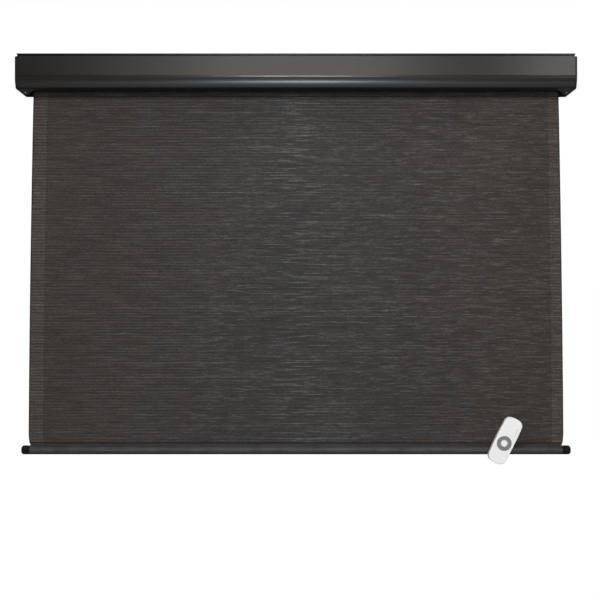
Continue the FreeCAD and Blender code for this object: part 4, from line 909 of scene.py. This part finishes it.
def coil_spring():
    """The idler's compression spring, a wire wound round the pin's tail."""
    low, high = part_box("idler_spring")
    wire, turns, sides, steps = 0.7 * MM, 11, 10, 24
    length, pin_travel = high.x - low.x, JOINTS["idler_pin_retract"]["range_m"][1]
    bpy.ops.mesh.primitive_circle_add(
        vertices=sides, radius=wire, location=(low.x + wire, ROLLER_AXIS.y, 0)
    )
    piece = bpy.context.active_object
    pick(piece, lambda vertex: True, "verts")
    bpy.ops.transform.translate(value=(0, high.z - wire, 0))
    leave_edit()
    modify(
        piece,
        "SCREW",
        axis="X",
        angle=math.tau,
        screw_offset=(length - wire * 2) / turns,
        iterations=turns,
        steps=steps,
        render_steps=steps,
    )
    pick(piece, lambda edge: edge.is_boundary, "edges")
    bpy.ops.mesh.edge_face_add()
    bpy.ops.mesh.select_all(action="SELECT")
    bpy.ops.mesh.normals_make_consistent(inside=False)
    leave_edit()
    settle(piece, "idler_coil", "roller", "spring_wire", 50)
    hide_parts("idler_spring")
    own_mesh(piece)


def edge_guide(side):
    """A moulded clip round each wing's inner edge that closes the gap beside the cloth."""
    outer, bend, inner = 904.5 * MM, 886.4 * MM, 868 * MM
    front, rear = -26 * MM, -13.5 * MM
    low, high = WING_FOOT - 4 * MM, WING_FOOT - 0.1 * MM
    grip, lip_height, lip_reach, rounding = 2.8 * MM, 11.2 * MM, 13 * MM, 0.8 * MM
    middle = (side * (outer + inner) / 2, (front + rear) / 2, (low + high) / 2)
    piece = add_block((outer - inner, rear - front, high - low), middle)
    pick(piece, lambda face: True)
    bpy.ops.mesh.bisect(plane_co=(side * bend, 0, 0), plane_no=(1, 0, 0))
    leave_edit()
    pick(piece, lambda face: face.normal.z > ALIGNED and abs(face.calc_center_median().x) < bend)
    extrude(z=grip)
    extrude(z=lip_height)
    leave_edit()

    def beside_lip(face):
        over_wing = face.calc_center_median().z > WING_FOOT + grip
        return over_wing and face.normal.x * side > ALIGNED

    pick(piece, beside_lip)
    extrude(x=side * lip_reach)
    leave_edit()
    modify(piece, "BEVEL", width=rounding, segments=3, limit_method="ANGLE")
    settle(piece, "edge_guide_" + ("left" if side < 0 else "right"), "root", "black_moulding")


class SHADE_OT_add_headbox(bpy.types.Operator):
    """Coats the headbox and puts real screws in it"""

    bl_idname = "shade.add_headbox"
    bl_label = "Headbox"

    def execute(self, context):
        dress_nodes("top_rail", "front_fascia", "bracket_left", "bracket_right")
        dress_nodes("end_cap_left", "end_cap_right", finish="end_moulding")
        small, port = (3.6 * MM, 1.8 * MM, 1.8 * MM), (3.4 * MM, 2.0 * MM, 1.6 * MM)
        screws("end_cap_screws", "wing_screws", (0, 0, -1), small)
        screws("rail_screws", "top_screws", (0, 0, -1), small)
        screws("fascia_screws", "port_screws", (1, 0, 0), port, mirrored=True)
        edge_guide(-1)
        edge_guide(1)
        return {"FINISHED"}


class SHADE_OT_add_roller(bpy.types.Operator):
    """Finishes the tube, both its ends and the motor, and winds the spare cloth on it"""

    bl_idname = "shade.add_roller"
    bl_label = "Roller and motor"

    def execute(self, context):
        dress_nodes("roller_tube", "fabric_spline", "idler_bush", "idler_pin", "idler_plug")
        dress_nodes("idler_end_plug", "motor_head", "motor_housing", "crown_ring")
        dress_nodes("motor_output_shaft", "drive_wheel", "drive_wheel_clip", "power_inlet")
        dress_nodes("setting_button")
        motor = (4.2 * MM, 2.3 * MM, 2.4 * MM)
        screws("motor_screws", "motor_head_screws", (1, 0, 0), motor, mirrored=True)
        coil_spring()
        wound_cloth()
        return {"FINISHED"}


class SHADE_OT_add_cloth(bpy.types.Operator):
    """Hangs the cloth, with its side hems and their stitching"""

    bl_idname = "shade.add_cloth"
    bl_label = "Hanging cloth"

    def execute(self, context):
        piece = hanging_cloth()
        rows = side_stitching()
        return {"FINISHED"}


class SHADE_OT_add_hem_bar(bpy.types.Operator):
    """Wraps the weighted hem bar in its pocket and finishes its ends"""

    bl_idname = "shade.add_hem_bar"
    bl_label = "Hem bar"

    def execute(self, context):
        dress_nodes("hem_tube", "hem_cap_left", "hem_cap_right")
        hem_loop()
        return {"FINISHED"}


class SHADE_OT_add_remote(bpy.types.Operator):
    """Finishes the remote's shells, ring, button, lights and inner pieces"""

    bl_idname = "shade.add_remote"
    bl_label = "Remote"

    def execute(self, context):
        nodes = [node for node in SLOTS if node.startswith("remote_")]
        nodes.remove("remote_case_screws")
        dress_nodes(*nodes)
        case = (2.1 * MM, 1.3 * MM, 1.1 * MM)
        screws("remote_case_screws", "case_screws", (0, 1, 0), case)
        return {"FINISHED"}


class SHADE_OT_add_stage(bpy.types.Operator):
    """Adds the floor with its backdrop, the studio lamps and the camera"""

    bl_idname = "shade.add_stage"
    bl_label = "Stage"

    def execute(self, context):
        scene = context.scene
        scene.view_settings.view_transform = "Standard"
        add_floor(scene.shade_stage)
        add_world(scene)
        add_lamps()
        add_camera(scene)
        return {"FINISHED"}


def add_floor(stage):
    """A pale floor that bends up into a backdrop far behind the shade."""
    size, back, rise, bend, near = 24.0, 8.0, 9.0, 2.5, 0.01
    bpy.ops.mesh.primitive_plane_add(size=size, location=(0, back - size / 2, -stage.floor_drop))
    floor = bpy.context.active_object
    bake_place(floor)
    pick_edges(floor, lambda spot: spot.y > back - near)
    extrude(z=rise)
    pick_edges(floor, lambda spot: spot.y > back - near and spot.z < near - stage.floor_drop)
    bpy.ops.mesh.bevel(offset=bend, segments=stage.bend_steps, profile=0.5)
    leave_edit()
    floor.name = "stage_floor"
    bpy.ops.object.shade_smooth()
    paint = Paint("stage_white", Base_Color=(0.22, 0.22, 0.22), Roughness=0.9)
    show_white(paint, share=0.93, mirrored=0.1)
    floor.data.materials.append(paint.material)


def show_white(paint, share, mirrored):
    """Lets camera, mirror and glass rays see a surface as near white, and keeps its shadows."""
    brightness = 1.075
    tree = paint.tree
    path = tree.nodes.new("ShaderNodeLightPath")
    camera = Signal(paint, path.outputs["Is Camera Ray"])
    glossy = Signal(paint, path.outputs["Is Glossy Ray"])
    through = Signal(paint, path.outputs["Is Transmission Ray"])
    seen = paint.math("MINIMUM", camera + (glossy + through) * mirrored, 1.0)
    glow = paint.node("Emission", inputs={"Color": (1.0, 1.0, 1.0), "Strength": brightness})
    mixed = paint.node("MixShader", inputs={0: seen * share, 2: glow})
    tree.links.new(paint.shader.outputs[0], mixed.socket.node.inputs[1])
    tree.links.new(mixed.socket, tree.nodes["Material Output"].inputs["Surface"])


def add_world(scene):
    """White all round where it is seen, and a calmer level where it only lights."""
    world = bpy.data.worlds.new("studio")
    world.use_nodes = True
    tree = world.node_tree
    light = tree.nodes["Background"]
    light.inputs["Color"].default_value = (0.93, 0.96, 1.0, 1)
    light.inputs["Strength"].default_value = 0.12
    white = tree.nodes.new("ShaderNodeBackground")
    white.inputs["Color"].default_value = (1, 1, 1, 1)
    path = tree.nodes.new("ShaderNodeLightPath")
    mixed = tree.nodes.new("ShaderNodeMixShader")
    tree.links.new(path.outputs["Is Camera Ray"], mixed.inputs[0])
    tree.links.new(light.outputs[0], mixed.inputs[1])
    tree.links.new(white.outputs[0], mixed.inputs[2])
    tree.links.new(mixed.outputs[0], tree.nodes["World Output"].inputs["Surface"])
    scene.world = world


# whether a lamp lights surfaces, shows in their gloss, or both
LIGHTS, GLEAMS, BOTH = (True, False), (False, True), (True, True)

LAMPS = {
    # name: place, aim, width, height, power in watts, colour, what it does
    "key": ((0.15, -4.4, 0.85), (0, 0, -0.6), 0.9, 0.6, 150, (1.0, 0.985, 0.97), LIGHTS),
    "soft_fill": ((0, -5.4, -0.7), (0, 0, -0.75), 3.4, 0.9, 72, (1.0, 0.985, 0.97), LIGHTS),
    "front_glow": ((0.1, -4.6, 1.33), (0, 0, -0.05), 2.0, 1.1, 25.5, (1.0, 0.955, 0.89), GLEAMS),
    "left_glow": ((-1.3, -4.5, 1.33), (-0.5, 0, -0.05), 0.9, 1.1, 4, (1.0, 0.94, 0.9), GLEAMS),
    "right_glow": ((2.4, -4.3, 1.3), (0.9, 0, -0.05), 0.9, 1.2, 16.5, (1.0, 0.955, 0.91), GLEAMS),
    "cool_strip": ((0.05, -4.2, -0.88), (0.05, 0, -0.1), 0.8, 0.14, 34, (0.72, 0.88, 1.0), GLEAMS),
    "low_gleam": ((0.5, -3.4, -1.1), (0.5, 0, -0.1), 4.4, 0.9, 9, (0.9, 0.95, 1.0), GLEAMS),
    "crease_strip": ((0, -1.9, 2.5), (0, -0.115, 0), 0.75, 0.4, 40, (1.0, 0.96, 0.9), GLEAMS),
    "left_fill": ((-3.6, -2.6, -0.9), (0, 0, -0.7), 1.2, 1.4, 6, (0.97, 0.98, 1.0), LIGHTS),
    "top_box": ((0, -1.4, 2.4), (0, -0.1, -0.2), 3.0, 0.8, 12, (1.0, 0.98, 0.95), LIGHTS),
    "back_box": ((0.15, 2.4, 0.45), (0, 0, -0.55), 2.4, 0.9, 44, (1, 1, 1), BOTH),
    "side_left": ((-2.4, 0.4, 0.2), (-0.9, 0.05, -0.1), 0.55, 0.65, 9, (1, 1, 1), BOTH),
    "side_right": ((2.4, 0.4, 0.2), (0.9, 0.05, -0.1), 0.55, 0.65, 9, (1, 1, 1), BOTH),
}


def add_lamps():
    """Area lamps that no camera sees."""
    for name, (spot, aim, width, height, power, colour, deeds) in LAMPS.items():
        lamp = bpy.data.lights.new(name, "AREA")
        lamp.shape = "RECTANGLE"
        lamp.size, lamp.size_y = width, height
        lamp.energy = power
        lamp.color = colour
        stand = add_object(name, lamp)
        stand.location = spot
        way = Vector(aim) - Vector(spot)
        stand.rotation_euler = way.to_track_quat("-Z", "Y").to_euler()
        stand.visible_camera = False
        stand.visible_diffuse, stand.visible_glossy = deeds


def add_camera(scene):
    """The photo's view: its camera, and where the view's axis meets the picture."""
    picture, axis_x, axis_y = 600, 296.0, 302.8
    stage = scene.shade_stage
    lens = bpy.data.cameras.new("photo_view")
    lens.lens = stage.focal
    lens.sensor_width = 36
    lens.shift_x = (picture / 2 - axis_x) / picture
    lens.shift_y = (axis_y - picture / 2) / picture
    camera = add_object("photo_view", lens)
    camera.location = (0, -stage.distance, -stage.eye_drop)
    camera.rotation_euler = (math.pi / 2 + stage.pitch, 0, 0)
    scene.camera = camera


class SHADE_PT_panel(bpy.types.Panel):
    """Lists the pieces of the shade and their settings"""

    bl_idname = "SHADE_PT_panel"
    bl_label = "Outdoor shade"
    bl_space_type = "VIEW_3D"
    bl_region_type = "UI"
    bl_category = "Shade"

    def draw(self, context):
        for operator in OPERATORS:
            self.layout.operator(operator.bl_idname)
        for group in (context.scene.shade_colours, context.scene.shade_cloth):
            for name in group.__annotations__:
                self.layout.prop(group, name)


OPERATORS = (
    SHADE_OT_add_headbox,
    SHADE_OT_add_roller,
    SHADE_OT_add_cloth,
    SHADE_OT_add_hem_bar,
    SHADE_OT_add_remote,
    SHADE_OT_add_stage,
)
CLASSES = (ShadeColours, ShadeCloth, ShadeStage, *OPERATORS, SHADE_PT_panel)


def register():
    for entry in CLASSES:
        bpy.utils.register_class(entry)
    bpy.types.Scene.shade_colours = PointerProperty(type=ShadeColours)
    bpy.types.Scene.shade_cloth = PointerProperty(type=ShadeCloth)
    bpy.types.Scene.shade_stage = PointerProperty(type=ShadeStage)


def unregister():
    del bpy.types.Scene.shade_stage
    del bpy.types.Scene.shade_cloth
    del bpy.types.Scene.shade_colours
    for entry in reversed(CLASSES):
        bpy.utils.unregister_class(entry)


def main():
    register()
    bpy.ops.shade.add_headbox()
    bpy.ops.shade.add_roller()
    bpy.ops.shade.add_cloth()
    bpy.ops.shade.add_hem_bar()
    bpy.ops.shade.add_remote()
    bpy.ops.shade.add_stage()


if __name__ == "__main__":
    main()
